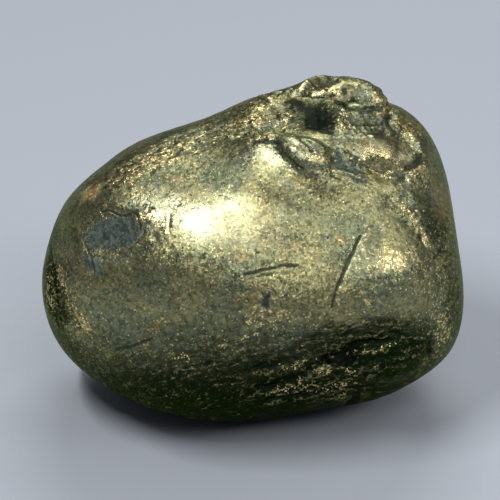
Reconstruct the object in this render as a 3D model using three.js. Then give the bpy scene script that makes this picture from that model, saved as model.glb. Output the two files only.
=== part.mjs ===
// A tumbled chalcopyrite specimen: one solid nugget of brassy ore, 30 mm long, worn
// round like a river pebble, with a broken shoulder, a knob and layered lower ledges.
// It is one closed skin: a round pillow over the stone's outline, on which the lumps,
// hollows, ledges and grooves named in the tables below are raised or sunk.
import * as THREE from "three";
import { mergeVertices } from "three/addons/utils/BufferGeometryUtils.js";

// Driving dimensions, in millimetres and degrees. The stone is drawn with its broad
// face towards +Z, X along its length, and is then leaned back to the way it rests.
const FRONT_DEPTH = 12.4;
const BACK_DEPTH = 12.2;
const ROUNDNESS = 2.15;
const LEAN = 62;
const FOOT_BELOW_CENTRE = 11.7;

// How finely the surface is divided, and the side to which its triangles crowd.
const DETAIL = 21;
const CROWD_TOWARDS = new THREE.Vector3(0.3, 0.35, 0.9).normalize();
const CROWDING = 0.25;

// Equal angles at which the outline's distance is kept, curve points for each of them,
// and how many neighbours on each side even it out; straight steps in a line's span;
// and the length over which a line fades in and out at its ends.
const OUTLINE_STEPS = 720;
const CURVE_POINTS = 4;
const EVENING = 8;
const LINE_STEPS = 5;
const TAPER = 1.5;
const CURVE_TENSION = 0.5;
const FULL_TURN = 2 * Math.PI;

// The edge of the broad face, without the knob, anticlockwise from the right end.
const OUTLINE = [
  [15.1, -1.35], [14.6, 2.15], [13.9, 4.75], [12.6, 7.65], [10.8, 9.8],
  [7.8, 10.6], [4.0, 10.8], [1.0, 10.6], [-1.2, 9.75], [-3.4, 8.9], [-8.9, 7.1],
  [-12.55, 3.95], [-14.4, 0.3], [-15.0, -2.9], [-14.05, -6.15], [-11.3, -8.8],
  [-7.55, -11.3], [-2.9, -12.4], [1.4, -12.3], [6.65, -11.3], [10.7, -9.55],
  [13.85, -7.5], [15.0, -4.2],
];

// Rounded swellings and hollows. Each is placed by x and y on the front face, or on
// the back one; size is its half length, half width and half depth, and turn is the
// slope of its length. A hollow has a negative rise, and a higher power a flatter bed.
const SWELLINGS = [
  { name: "knob", at: [6.3, 10.4], size: [3.4, 2.1, 4.2], turn: -8, rise: 1.85, power: 1.5 },
  { name: "knob's left foot", at: [1.9, 10.2], size: [1.5, 0.7, 1.5], turn: 15, rise: 0.35, power: 1 },
  { name: "hollow by the pit", at: [2.3, 8.6], size: [1.4, 1.2, 2.2], turn: 0, rise: -0.55, power: 1 },
  { name: "pit", at: [4.35, 8.9], size: [1.2, 0.85, 1.6], turn: -35, rise: -1.05, power: 1 },
  { name: "bowl under the knob", at: [6.9, 9.6], size: [1.5, 0.6, 1.8],
    turn: -5, rise: -0.9, power: 1.1 },
  { name: "layered bed", at: [8.0, 8.2], size: [2.0, 0.9, 1.8], turn: -5, rise: -0.35, power: 1 },
  { name: "shell plate", at: [8.8, 6.6], size: [2.3, 1.4, 2.4], turn: -25, rise: 0.6, power: 1.4 },
  { name: "nub", at: [3.9, 6.4], size: [1.7, 0.95, 1.6], turn: -22, rise: 0.8, power: 2.2 },
  { name: "corner bead", at: [11.1, 5.4], size: [1.8, 1.8, 2.2], turn: 0, rise: 0.95, power: 1 },
  { name: "rusty dip", at: [13.15, 3.0], size: [0.9, 1.8, 2.2], turn: 0, rise: -0.3, power: 1 },
  { name: "brow", at: [0.9, 7.1], size: [2.2, 0.8, 2.0], turn: -8, rise: 0.45, power: 1 },
  { name: "right lobe", at: [10.4, -1.8], size: [3.0, 2.6, 4.0], turn: 0, rise: 0.7, power: 1 },
  { name: "right nick", at: [13.1, -0.5], size: [1.3, 0.7, 2.0], turn: 10, rise: -0.3, power: 1 },
  { name: "lower valley", at: [7.6, -5.7], size: [3.4, 1.3, 3.0], turn: 12, rise: -0.38, power: 1 },
  { name: "lower lobe", at: [9.6, -8.2], size: [2.6, 1.4, 2.6], turn: 10, rise: 0.55, power: 1.4 },
  { name: "black recess", at: [6.2, -7.75], size: [1.0, 0.6, 1.2], turn: 20, rise: -0.8, power: 1 },
  { name: "grey patch", at: [-9.5, 0.8], size: [2.0, 1.45, 2.0], turn: 8, rise: -0.35, power: 2.5 },
  { name: "patch's rim", at: [-7.3, 2.0], size: [0.8, 0.5, 0.8], turn: 20, rise: 0.22, power: 1 },
  { name: "belly", at: [2.0, -3.6], size: [6.5, 3.4, 5.0], turn: -12, rise: 0.75, power: 1 },
  { name: "upper left", at: [-9.6, 3.8], size: [4.0, 2.6, 4.0], turn: 25, rise: 0.55, power: 1 },
  { name: "upper hollow", at: [2.6, 4.0], size: [4.4, 1.3, 3.2], turn: -24, rise: -0.45, power: 1 },
  { name: "back facet", at: [-7.0, 4.4], back: true, size: [4.0, 3.0, 3.0],
    turn: 25, rise: -0.5, power: 1.2 },
  { name: "back pit", at: [2.2, 0.8], back: true, size: [1.4, 1.0, 1.2],
    turn: 30, rise: -0.7, power: 1 },
  { name: "back nub", at: [-6.9, -5.2], back: true, size: [1.4, 1.0, 1.3],
    turn: -20, rise: 0.45, power: 1.2 },
  { name: "back lobe", at: [8.5, 2.5], back: true, size: [3.2, 3.0, 3.0],
    turn: 0, rise: 0.5, power: 1.2 },
];

// Ledges: the surface drops on the left of each line and comes back within its reach.
const LEDGES = [
  { name: "broken rim", drop: 0.42, edge: 0.9, reach: 4.4, lip: 0.1, taper: 3.5,
    line: [[-0.9, 7.2], [1.1, 7.15], [2.3, 6.75], [3.2, 5.95], [4.6, 5.3], [6.2, 4.8],
      [8.0, 4.5], [9.9, 4.1], [11.1, 3.2], [12.2, 1.8]] },
  { name: "knob's brow", drop: 0.7, edge: 0.4, reach: 3.0, lip: 0.1, taper: 1.2,
    line: [[7.4, 10.5], [6.0, 10.7], [4.6, 10.6], [3.0, 10.1]] },
  { name: "plate's edge", drop: 0.15, edge: 0.3, reach: 1.4,
    line: [[11.0, 4.9], [9.4, 4.9], [8.0, 5.6], [6.7, 6.3], [5.7, 7.3]] },
  { name: "upper crease", drop: 0.28, edge: 0.35, reach: 3.2,
    line: [[-11.2, 2.6], [-8.7, 4.6], [-6.2, 5.8], [-3.3, 6.75], [-0.5, 7.15], [1.2, 7.3]] },
  { name: "shoulder arc", drop: 0.2, edge: 0.3, reach: 1.6,
    line: [[12.0, -0.4], [11.4, 0.9], [10.0, 2.4], [8.6, 3.6]] },
  { name: "lower lobe's top", drop: 0.38, edge: 0.45, reach: 3.4, lip: 0.1,
    line: [[6.3, -7.9], [7.0, -7.4], [8.8, -6.9], [10.2, -6.5], [11.0, -6.3]] },
  { name: "layer 1", drop: 0.2, edge: 0.7, reach: 2.6,
    line: [[-5.6, -8.7], [-3.3, -7.7], [-0.8, -7.0], [1.6, -6.5], [3.8, -6.3]] },
  { name: "layer 2", drop: 0.3, edge: 0.3, reach: 2.2,
    line: [[-0.8, -8.9], [1.6, -8.3], [3.6, -7.75], [5.6, -7.4]] },
  { name: "layer 3", drop: 0.4, edge: 0.3, reach: 2.2, lip: 0.12,
    line: [[-0.7, -10.5], [1.55, -10.0], [3.4, -9.25], [4.5, -8.6], [5.7, -8.2], [7.3, -8.8]] },
  { name: "layer 4", drop: 0.3, edge: 0.3, reach: 1.8,
    line: [[0.2, -11.3], [2.4, -11.0], [4.3, -10.65], [6.2, -10.2], [8.4, -10.1]] },
  { name: "left plate 1", drop: 0.3, edge: 0.3, reach: 1.8, lip: 0.05,
    line: [[-12.8, -3.2], [-13.2, -2.0], [-13.7, -0.9], [-14.0, 0.2]] },
  { name: "left plate 2", drop: 0.3, edge: 0.3, reach: 1.8, lip: 0.05,
    line: [[-10.9, -6.8], [-11.5, -5.9], [-12.2, -5.05], [-12.8, -4.3], [-13.3, -3.4]] },
  { name: "back rim", back: true, drop: 0.42, edge: 0.7, reach: 4.5,
    line: [[9.6, 6.6], [6.2, 5.0], [2.4, 4.5], [-1.2, 2.9], [-4.6, 2.5]] },
  { name: "back layer 1", back: true, drop: 0.3, edge: 0.65, reach: 2.8,
    line: [[12.2, 0.6], [9.7, -0.6], [7.4, -0.9], [4.3, -2.5]] },
  { name: "back layer 2", back: true, drop: 0.3, edge: 0.65, reach: 2.6,
    line: [[-0.6, -0.2], [-3.9, -0.9], [-6.2, -2.3], [-10.6, -3.1]] },
  { name: "back layer 3", back: true, drop: 0.34, edge: 0.65, reach: 3.0,
    line: [[6.4, -4.4], [3.0, -5.0], [-0.2, -6.6], [-3.8, -7.1], [-7.4, -8.6]] },
];

// Grooves, and ridges, which are grooves of a negative depth.
const GROOVES = [
  { name: "pit's tail", depth: 0.25, width: 0.5, line: [[1.2, 9.8], [2.4, 9.6], [3.8, 9.3]] },
  { name: "knob's heel", depth: 0.5, width: 0.45,
    line: [[9.6, 10.4], [9.7, 9.8], [9.7, 9.1], [9.3, 8.4]] },
  { name: "channel", depth: 0.3, width: 0.4,
    line: [[5.5, 6.9], [5.9, 5.9], [7.0, 5.2], [8.3, 4.8]] },
  { name: "plate's rim", depth: -0.45, width: 0.45,
    line: [[10.5, 8.4], [11.2, 7.4], [11.4, 6.3], [10.9, 5.5]] },
  { name: "crack by the rim", depth: 0.45, width: 0.35,
    line: [[12.1, 7.2], [12.0, 6.5], [11.8, 5.9], [11.1, 5.2]] },
  { name: "valley", depth: 0.2, width: 0.7,
    line: [[7.6, 1.6], [7.0, 0.3], [6.2, -1.35], [5.7, -2.8], [5.2, -4.2]] },
  { name: "patch's tail", depth: 0.3, width: 0.5,
    line: [[-11.4, -0.4], [-11.0, -1.3], [-10.4, -2.6]] },
  { name: "corner groove", depth: 0.35, width: 0.35,
    line: [[12.5, -5.9], [12.35, -6.8], [12.3, -8.2]] },
  { name: "bottom notch", depth: 0.4, width: 0.4,
    line: [[7.0, -10.1], [7.15, -10.8], [7.0, -11.5]] },
  { name: "knob's back crease", back: true, depth: 0.5, width: 0.6,
    line: [[2.0, 9.4], [4.6, 8.7], [7.6, 8.6], [10.4, 8.1]] },
];

// Long low waves that keep the worn skin from being perfectly smooth.
const WAVES = [
  { along: [0.31, 0.22, -0.18], height: 0.16, phase: 0.4 },
  { along: [-0.24, 0.4, 0.29], height: 0.13, phase: 2.1 },
  { along: [0.52, -0.33, 0.41], height: 0.09, phase: 4.4 },
  { along: [-0.61, -0.57, 0.35], height: 0.06, phase: 1.2 },
];

const smooth = (t) => THREE.MathUtils.smoothstep(t, 0, 1);

// The outline's distance from the centre at each of OUTLINE_STEPS equal angles.
function outlineRadii() {
  const corners = OUTLINE.map(([x, y]) => new THREE.Vector3(x, y, 0));
  const curve = new THREE.CatmullRomCurve3(corners, true, "catmullrom", CURVE_TENSION);
  const points = curve.getPoints(OUTLINE_STEPS * CURVE_POINTS);
  const turns = points.map((p) => Math.atan2(p.y, p.x));
  const step = FULL_TURN / OUTLINE_STEPS;
  const radii = new Array(OUTLINE_STEPS);
  for (let i = 0; i < points.length - 1; i++) {
    const from = turns[i];
    const to = turns[i + 1] < from - Math.PI ? turns[i + 1] + FULL_TURN : turns[i + 1];
    for (let k = Math.ceil(from / step); k * step <= to; k++) {
      const share = (k * step - from) / (to - from || 1);
      const slot = (k + OUTLINE_STEPS) % OUTLINE_STEPS;
      radii[slot] = THREE.MathUtils.lerp(points[i].length(), points[i + 1].length(), share);
    }
  }
  return radii;
}

// The same distances with their small kinks rubbed away.
function evened(radii) {
  return radii.map((_, i) => {
    let sum = 0;
    for (let k = -EVENING; k <= EVENING; k++)
      sum += radii[(i + k + OUTLINE_STEPS) % OUTLINE_STEPS];
    return sum / (2 * EVENING + 1);
  });
}

const RADII = evened(evened(outlineRadii()));

function outlineAt(x, y) {
  const turn = (Math.atan2(y, x) / FULL_TURN + 1) * OUTLINE_STEPS;
  const low = Math.floor(turn);
  const here = RADII[low % OUTLINE_STEPS];
  const next = RADII[(low + 1) % OUTLINE_STEPS];
  return THREE.MathUtils.lerp(here, next, turn - low);
}

// The smooth pebble in a direction: a rounded pillow over the outline.
function pebblePoint(direction) {
  const across = Math.hypot(direction.x, direction.y) / outlineAt(direction.x, direction.y);
  const deep = Math.abs(direction.z) / (direction.z > 0 ? FRONT_DEPTH : BACK_DEPTH);
  const reach = Math.pow(Math.pow(across, ROUNDNESS) + Math.pow(deep, ROUNDNESS), -1 / ROUNDNESS);
  return direction.clone().multiplyScalar(reach);
}

// The point of the smooth pebble at x and y on its front, or on its back.
function onPebble([x, y], back = false) {
  const share = Math.min(1, Math.hypot(x, y) / outlineAt(x, y));
  const depth = Math.pow(1 - Math.pow(share, ROUNDNESS), 1 / ROUNDNESS);
  return new THREE.Vector3(x, y, back ? -BACK_DEPTH * depth : FRONT_DEPTH * depth);
}

// How far a swelling raises the point p of the pebble.
function swellingAt(p, swelling) {
  const away = p.clone().sub(onPebble(swelling.at, swelling.back));
  const turn = THREE.MathUtils.degToRad(swelling.turn);
  const along = away.x * Math.cos(turn) + away.y * Math.sin(turn);
  const across = away.y * Math.cos(turn) - away.x * Math.sin(turn);
  const [long, wide, deep] = swelling.size;
  const square = (along / long) ** 2 + (across / wide) ** 2 + (away.z / deep) ** 2;
  return swelling.rise * Math.exp(-Math.pow(square, swelling.power));
}

// A line drawn on the pebble through a feature's points, with the length up to each step.
function trace(feature) {
  const points = feature.line.map((at) => onPebble(at, feature.back));
  const curve = new THREE.CatmullRomCurve3(points, false, "catmullrom", CURVE_TENSION);
  const path = curve.getPoints((points.length - 1) * LINE_STEPS);
  const lengths = [0];
  for (let i = 1; i < path.length; i++)
    lengths.push(lengths[i - 1] + path[i].distanceTo(path[i - 1]));
  return { path, lengths };
}

// How far p is from a line, how far to its left, and how much of the line is left there.
function nearLine(p, normal, feature) {
  feature.trace ??= trace(feature);
  const { path, lengths } = feature.trace;
  const whole = lengths[lengths.length - 1];
  const taper = feature.taper ?? TAPER;
  let best = { distance: Infinity };
  for (let i = 0; i < path.length - 1; i++) {
    const run = path[i + 1].clone().sub(path[i]);
    const away = p.clone().sub(path[i]);
    const share = THREE.MathUtils.clamp(away.dot(run) / run.lengthSq(), 0, 1);
    const gap = away.addScaledVector(run, -share);
    const distance = gap.length();
    if (distance >= best.distance) continue;
    const side = gap.dot(normal.clone().cross(run).normalize());
    const at = lengths[i] + share * run.length();
    best = { distance, side, fade: smooth(at / taper) * smooth((whole - at) / taper) };
  }
  return best;
}

// A ledge sinks the side on the left of its line and may lift a lip on the right.
function ledgeAt(p, normal, ledge) {
  const { distance, side, fade } = nearLine(p, normal, ledge);
  if (side <= 0) return fade * (ledge.lip ?? 0) * Math.exp(-((distance / ledge.edge) ** 2));
  return -fade * ledge.drop * smooth(side / ledge.edge) * (1 - smooth(distance / ledge.reach));
}

function grooveAt(p, normal, groove) {
  const { distance, fade } = nearLine(p, normal, groove);
  return -fade * groove.depth * Math.exp(-((distance / groove.width) ** 2));
}

function waveAt(p, wave) {
  const [x, y, z] = wave.along;
  return wave.height * Math.sin(p.x * x + p.y * y + p.z * z + wave.phase);
}

const total = (features, amount) => features.reduce((sum, feature) => sum + amount(feature), 0);

// Moves every vertex along its normal by what relief gives for its place on the pebble.
function raise(geometry, pebble, relief) {
  geometry.computeVertexNormals();
  const { position, normal } = geometry.attributes;
  const place = new THREE.Vector3();
  const out = new THREE.Vector3();
  for (let i = 0; i < position.count; i++) {
    out.fromBufferAttribute(normal, i);
    place.fromBufferAttribute(position, i).addScaledVector(out, relief(pebble[i], out));
    position.setXYZ(i, place.x, place.y, place.z);
  }
}

// The whole stone, upright: first its lumps and hollows, then the ledges cut in them.
function stoneGeometry() {
  const sphere = new THREE.IcosahedronGeometry(1, DETAIL);
  sphere.deleteAttribute("normal");
  sphere.deleteAttribute("uv");
  const geometry = mergeVertices(sphere);
  const { position } = geometry.attributes;
  const pebble = [];
  for (let i = 0; i < position.count; i++) {
    const direction = new THREE.Vector3().fromBufferAttribute(position, i);
    direction.normalize().addScaledVector(CROWD_TOWARDS, CROWDING).normalize();
    pebble.push(pebblePoint(direction));
    position.setXYZ(i, pebble[i].x, pebble[i].y, pebble[i].z);
  }
  raise(geometry, pebble, (p) =>
    total(WAVES, (wave) => waveAt(p, wave)) + total(SWELLINGS, (swelling) => swellingAt(p, swelling)));
  raise(geometry, pebble, (p, normal) =>
    total(LEDGES, (ledge) => ledgeAt(p, normal, ledge)) +
    total(GROOVES, (groove) => grooveAt(p, normal, groove)));
  return geometry;
}

// Leans the stone back, wears a flat foot under it and stands it on the ground with
// the middle of its footprint at the origin.
function rest(geometry) {
  geometry.rotateX(THREE.MathUtils.degToRad(LEAN));
  const { position } = geometry.attributes;
  for (let i = 0; i < position.count; i++)
    position.setZ(i, Math.max(position.getZ(i), -FOOT_BELOW_CENTRE));
  geometry.computeBoundingBox();
  const { min, max } = geometry.boundingBox;
  geometry.translate(-(min.x + max.x) / 2, -(min.y + max.y) / 2, -min.z);
  geometry.computeVertexNormals();
  return geometry;
}

const brassyOre = new THREE.MeshStandardMaterial({ color: 0x9c9468, metalness: 0.9, roughness: 0.42 });

const stone = new THREE.Mesh(rest(stoneGeometry()), brassyOre);
stone.name = "chalcopyrite_stone";

const specimen = new THREE.Group();
specimen.name = "chalcopyrite_specimen";
specimen.add(stone);
export default specimen;
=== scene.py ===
# %% [markdown]
# # A tumbled chalcopyrite nugget
# The object is one stone: a piece of brassy copper ore, 30 mm long, that a tumbler has worn round
# like a river pebble. Its right shoulder is broken, with a knob, a dark pit and a shell-like
# plate, and its lower edge splits in thin layers. We load the plain solid first.

# %% Load the solid
import functools
import math
import bpy
import numpy as np
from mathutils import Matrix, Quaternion, Vector


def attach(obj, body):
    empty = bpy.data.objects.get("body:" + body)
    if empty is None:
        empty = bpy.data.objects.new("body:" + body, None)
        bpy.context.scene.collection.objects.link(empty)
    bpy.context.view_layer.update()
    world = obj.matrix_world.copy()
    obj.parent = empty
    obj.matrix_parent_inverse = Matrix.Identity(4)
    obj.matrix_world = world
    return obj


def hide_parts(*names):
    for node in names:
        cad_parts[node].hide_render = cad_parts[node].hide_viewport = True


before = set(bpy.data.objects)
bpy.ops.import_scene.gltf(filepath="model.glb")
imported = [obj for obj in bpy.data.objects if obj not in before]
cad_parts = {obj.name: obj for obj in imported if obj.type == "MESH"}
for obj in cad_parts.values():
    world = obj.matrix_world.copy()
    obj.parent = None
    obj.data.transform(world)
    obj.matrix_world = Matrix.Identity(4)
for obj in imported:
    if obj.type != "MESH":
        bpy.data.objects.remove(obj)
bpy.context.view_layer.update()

# %% [markdown]
# ## The stone's own frame
# The stone is drawn facing us: x along its length, y up its face and z towards the viewer, in
# millimetres. Afterwards it is leaned back to the way it rests. A camera that looks down at it by
# the same amount sees that face square on, which makes every mark easy to place.

# %% Name the stone's main sizes
MM = 0.001
CAMERA_ELEVATION = 28
LEAN = 90 - CAMERA_ELEVATION
FRONT_DEPTH, BACK_DEPTH, ROUNDNESS = 12.4, 12.2, 2.15
FOOT_BELOW_CENTRE = 11.7

OUTLINE = [
    (15.1, -1.35), (14.6, 2.15), (13.9, 4.75), (12.6, 7.65), (10.8, 9.8), (7.8, 10.6), (4.0, 10.8),
    (1.0, 10.6), (-1.2, 9.75), (-3.4, 8.9), (-8.9, 7.1), (-12.55, 3.95), (-14.4, 0.3), (-15.0, -2.9),
    (-14.05, -6.15), (-11.3, -8.8), (-7.55, -11.3), (-2.9, -12.4), (1.4, -12.3), (6.65, -11.3),
    (10.7, -9.55), (13.85, -7.5), (15.0, -4.2),
]
print("outline:", len(OUTLINE), "corners")

# %% [markdown]
# ## A smooth pebble to start from
# A stone could be sculpted by hand, or grown from noise. Here it follows a rule instead: a pillow
# between two depths over a drawn outline. Each direction from the middle has one point on it, so
# nothing folds over, and the same numbers give the same stone every time.

# %% Turn the outline into a distance for every angle
OUTLINE_STEPS, EVENING, CURVE_POINTS, LINE_STEPS = 720, 8, 120, 6


def spline(corners, closed=False):
    """A Catmull-Rom curve through the corners, as rows of points."""
    corners = np.asarray(corners, float)
    spans = len(corners) if closed else len(corners) - 1
    if closed:
        ends = np.vstack([corners[-1:], corners, corners[:2]])
    else:
        ends = np.vstack([2 * corners[0] - corners[1], corners, 2 * corners[-1] - corners[-2]])
    count = CURVE_POINTS if closed else LINE_STEPS
    t = np.linspace(0, 1, count, endpoint=False)[:, None]
    rows = []
    for i in range(spans):
        a, b, c, d = ends[i:i + 4]
        slope_in, slope_out = (c - a) / 2, (d - b) / 2
        rows.append((2 * t**3 - 3 * t**2 + 1) * b + (t**3 - 2 * t**2 + t) * slope_in
                    + (3 * t**2 - 2 * t**3) * c + (t**3 - t**2) * slope_out)
    return np.vstack(rows + ([] if closed else [corners[-1:]]))


edge_curve = spline(OUTLINE, closed=True)
edge_turns = np.arctan2(edge_curve[:, 1], edge_curve[:, 0])
edge_order = np.argsort(edge_turns)
RADII = np.interp(
    np.linspace(-math.pi, math.pi, OUTLINE_STEPS, endpoint=False), edge_turns[edge_order],
    np.hypot(*edge_curve.T)[edge_order], period=2 * math.pi)
for _ in range(2):
    RADII = np.mean([np.roll(RADII, k) for k in range(-EVENING, EVENING + 1)], axis=0)
print("outline radius, mm:", RADII.min().round(2), "to", RADII.max().round(2))


def outline_at(x, y):
    turn = (np.arctan2(y, x) + math.pi) / (2 * math.pi) * OUTLINE_STEPS
    low = np.floor(turn).astype(int)
    share = turn - low
    return RADII[low % OUTLINE_STEPS] * (1 - share) + RADII[(low + 1) % OUTLINE_STEPS] * share


# %% Find points on the pebble by direction, or by x and y
def pebble_towards(direction):
    across = np.hypot(direction[:, 0], direction[:, 1]) / outline_at(direction[:, 0], direction[:, 1])
    depth = np.where(direction[:, 2] > 0, FRONT_DEPTH, BACK_DEPTH)
    deep = np.abs(direction[:, 2]) / depth
    reach = (across**ROUNDNESS + deep**ROUNDNESS) ** (-1 / ROUNDNESS)
    return direction * reach[:, None]


def on_pebble(spots, back=False):
    spots = np.atleast_2d(np.asarray(spots, float))
    share = np.minimum(1, np.hypot(*spots.T) / outline_at(*spots.T))
    rise = (1 - share**ROUNDNESS) ** (1 / ROUNDNESS)
    return np.column_stack([spots, rise * (-BACK_DEPTH if back else FRONT_DEPTH)])


print("the pebble's front, mm:", on_pebble((0, 0)).round(2))

# %% [markdown]
# ## A skin of even squares
# A globe with poles would bunch its faces at two points, and a pole shows as a star in polished
# metal. Six square grids blown up to a ball have no poles. The grid is pulled a little towards
# the face that we look at, where the fine marks are.

# %% Blow six grids up to a ball
GRID = 128
CROWD_TOWARDS = np.array([0.36, 0.38, 0.85])
CROWD_TOWARDS /= np.linalg.norm(CROWD_TOWARDS)
CROWDING = 0.40


def blown_up_cube(count):
    """Directions and quads of a cube's six grids, their shared edges joined."""
    step = np.arange(count + 1)
    index, places, quads = {}, [], []
    for axis in range(3):
        for side in (0, count):
            corner = np.empty((count + 1, count + 1), int)
            for i in step:
                for j in step:
                    key = [0, 0, 0]
                    key[axis], key[(axis + 1) % 3], key[(axis + 2) % 3] = side, int(i), int(j)
                    key = tuple(key)
                    if key not in index:
                        index[key] = len(places)
                        places.append(key)
                    corner[i, j] = index[key]
            quad = np.stack([corner[:-1, :-1], corner[1:, :-1], corner[1:, 1:], corner[:-1, 1:]], -1)
            quad = quad.reshape(-1, 4)
            quads.append(quad if side else quad[:, ::-1])
    cube = np.array(places) / count * 2 - 1
    ball = np.tan(cube * math.pi / 4)
    return ball / np.linalg.norm(ball, axis=1)[:, None], np.vstack(quads)


ball, quads = blown_up_cube(GRID)
ball = ball + CROWD_TOWARDS * CROWDING
ball /= np.linalg.norm(ball, axis=1)[:, None]
pebble = pebble_towards(ball)
print("skin:", len(pebble), "points,", 2 * len(quads), "triangles")


def normals_of(points):
    """The outward direction at every point of the skin."""
    a, b, c, d = (points[quads[:, k]] for k in range(4))
    faces = np.cross(c - a, d - b)
    out = np.zeros_like(points)
    for k in range(4):
        for axis in range(3):
            out[:, axis] += np.bincount(quads[:, k], faces[:, axis], len(points))
    return out / np.linalg.norm(out, axis=1)[:, None]


# %% [markdown]
# ## Noise that repeats
# Worn rock is never quite regular, so every drawn line and lump gets a little wander. The wander
# is a hashed lattice noise: each corner of a grid of cubes has its own fixed number, and
# the space between is filled in smoothly. The seed picks another set of numbers.

# %% Make the noise
# large odd numbers, which turn a corner's place into a number of its own
PRIMES = (73856093, 19349663, 83492791, 2654435761)
STIRS = ((15, 2246822519), (13, 3266489917))


def smooth(t):
    t = np.clip(t, 0, 1)
    return t * t * (3 - 2 * t)


def lattice_noise(p, size, seed):
    """Smooth noise between -1 and 1, whose lumps are about size across."""
    q = p / size + seed * 17.3
    cell = np.floor(q).astype(np.int64)
    share = smooth(q - cell)
    total = np.zeros(len(p))
    for corner in np.ndindex(2, 2, 2):
        c = cell + np.array(corner)
        h = (c[:, 0] * PRIMES[0]) ^ (c[:, 1] * PRIMES[1]) ^ (c[:, 2] * PRIMES[2]) ^ (seed * PRIMES[3])
        for shift, stir in STIRS:
            h = ((h ^ (h >> shift)) * stir) & 0xFFFFFFFF
        weight = np.prod(np.where(corner, share, 1 - share), axis=1)
        total += weight * ((h ^ (h >> 16)) / 0x7FFFFFFF - 1)
    return total


def rough_noise(p, size, seed, layers=3):
    return sum(lattice_noise(p, size / 2**k, seed + k) / 2**k for k in range(layers))


def wander(p, size, seed):
    return np.column_stack([rough_noise(p, size, seed + 10 * k, 2) for k in range(3)])


print("noise spread:", rough_noise(pebble, 2.0, 1).std().round(3))

# %% [markdown]
# ## Lumps and hollows
# The big forms are soft: the knob, the pit at its foot, the shell plate, the lobe at the right.
# Each is a bell-shaped swelling with a place, three half sizes, a slope and a rise, and a hollow
# is one that sinks. They are the same as on the plain solid, so both agree from every side.

# %% Raise the lumps and sink the hollows
# name, x, y, half length, half width, half depth, slope in degrees, rise, flatness
FRONT_SWELLINGS = [
    ("knob", 6.3, 10.4, 3.4, 2.1, 4.2, -8, 1.85, 1.5),
    ("knob's left foot", 1.9, 10.2, 1.5, 0.7, 1.5, 15, 0.35, 1),
    ("hollow by the pit", 2.3, 8.6, 1.4, 1.2, 2.2, 0, -0.55, 1),
    ("pit", 4.35, 8.9, 1.2, 0.85, 1.6, -35, -1.05, 1),
    ("bowl under the knob", 6.9, 9.6, 1.5, 0.6, 1.8, -5, -0.9, 1.1),
    ("layered bed", 8.0, 8.2, 2.0, 0.9, 1.8, -5, -0.35, 1),
    ("shell plate", 8.8, 6.6, 2.3, 1.4, 2.4, -25, 0.6, 1.4),
    ("nub", 3.9, 6.4, 1.7, 0.95, 1.6, -22, 0.8, 2.2),
    ("corner bead", 11.1, 5.4, 1.8, 1.8, 2.2, 0, 0.95, 1),
    ("rusty dip", 13.15, 3.0, 0.9, 1.8, 2.2, 0, -0.3, 1),
    ("brow", 0.9, 7.1, 2.2, 0.8, 2.0, -8, 0.45, 1),
    ("right lobe", 10.4, -1.8, 3.0, 2.6, 4.0, 0, 0.7, 1),
    ("right nick", 13.1, -0.5, 1.3, 0.7, 2.0, 10, -0.3, 1),
    ("lower valley", 7.6, -5.7, 3.4, 1.3, 3.0, 12, -0.38, 1),
    ("lower lobe", 9.6, -8.2, 2.6, 1.4, 2.6, 10, 0.55, 1.4),
    ("black recess", 6.2, -7.75, 1.0, 0.6, 1.2, 20, -0.8, 1),
    ("grey patch", -9.5, 0.8, 2.0, 1.45, 2.0, 8, -0.35, 2.5),
    ("patch's rim", -7.3, 2.0, 0.8, 0.5, 0.8, 20, 0.22, 1),
    ("belly", 2.0, -3.6, 6.5, 3.4, 5.0, -12, 0.75, 1),
    ("upper left", -9.6, 3.8, 4.0, 2.6, 4.0, 25, 0.55, 1),
    ("upper hollow", 2.6, 4.0, 4.4, 1.3, 3.2, -24, -0.45, 1),
]
BACK_SWELLINGS = [
    ("back facet", -7.0, 4.4, 4.0, 3.0, 3.0, 25, -0.5, 1.2),
    ("back pit", 2.2, 0.8, 1.4, 1.0, 1.2, 30, -0.7, 1),
    ("back nub", -6.9, -5.2, 1.4, 1.0, 1.3, -20, 0.45, 1.2),
    ("back lobe", 8.5, 2.5, 3.2, 3.0, 3.0, 0, 0.5, 1.2),
]
# how fast it runs along x, y and z, its height and where it starts
WAVES = [
    (0.31, 0.22, -0.18, 0.16, 0.4),
    (-0.24, 0.4, 0.29, 0.13, 2.1),
    (0.52, -0.33, 0.41, 0.09, 4.4),
    (-0.61, -0.57, 0.35, 0.06, 1.2),
]


def sides(front, back):
    """The rows of a front table and a back table, each behind whether it is on the back."""
    return [(False, *row) for row in front] + [(True, *row) for row in back]


def bell(p, middle, long, wide, deep, slope, flatness):
    """1 at the middle of a swelling, falling to 0 around it."""
    away = p - middle
    turn = math.radians(slope)
    along = away[:, 0] * math.cos(turn) + away[:, 1] * math.sin(turn)
    across = away[:, 1] * math.cos(turn) - away[:, 0] * math.sin(turn)
    square = (along / long) ** 2 + (across / wide) ** 2 + (away[:, 2] / deep) ** 2
    return np.exp(-square**flatness)


lumps = sum(high * np.sin(pebble @ (kx, ky, kz) + start) for kx, ky, kz, high, start in WAVES)
for back, _, x, y, long, wide, deep, slope, rise, flatness in sides(FRONT_SWELLINGS, BACK_SWELLINGS):
    lumps += rise * bell(pebble, on_pebble((x, y), back), long, wide, deep, slope, flatness)
skin = pebble + normals_of(pebble) * lumps[:, None]
print("lumps from", lumps.min().round(2), "to", lumps.max().round(2), "mm")

# %% [markdown]
# ## Ledges, grooves and ridges
# The broken edges run along drawn lines. A ledge sinks the skin on the left of its line and comes
# back slowly, like a roof tile, and a groove or a ridge is even on both sides. Distances
# are measured to points that wander a little, so the edges come out chipped instead of ruled.

# %% Measure how far the skin's points are from a line
TAPER, EDGE_SHINE = 1.5, 0.10


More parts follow.
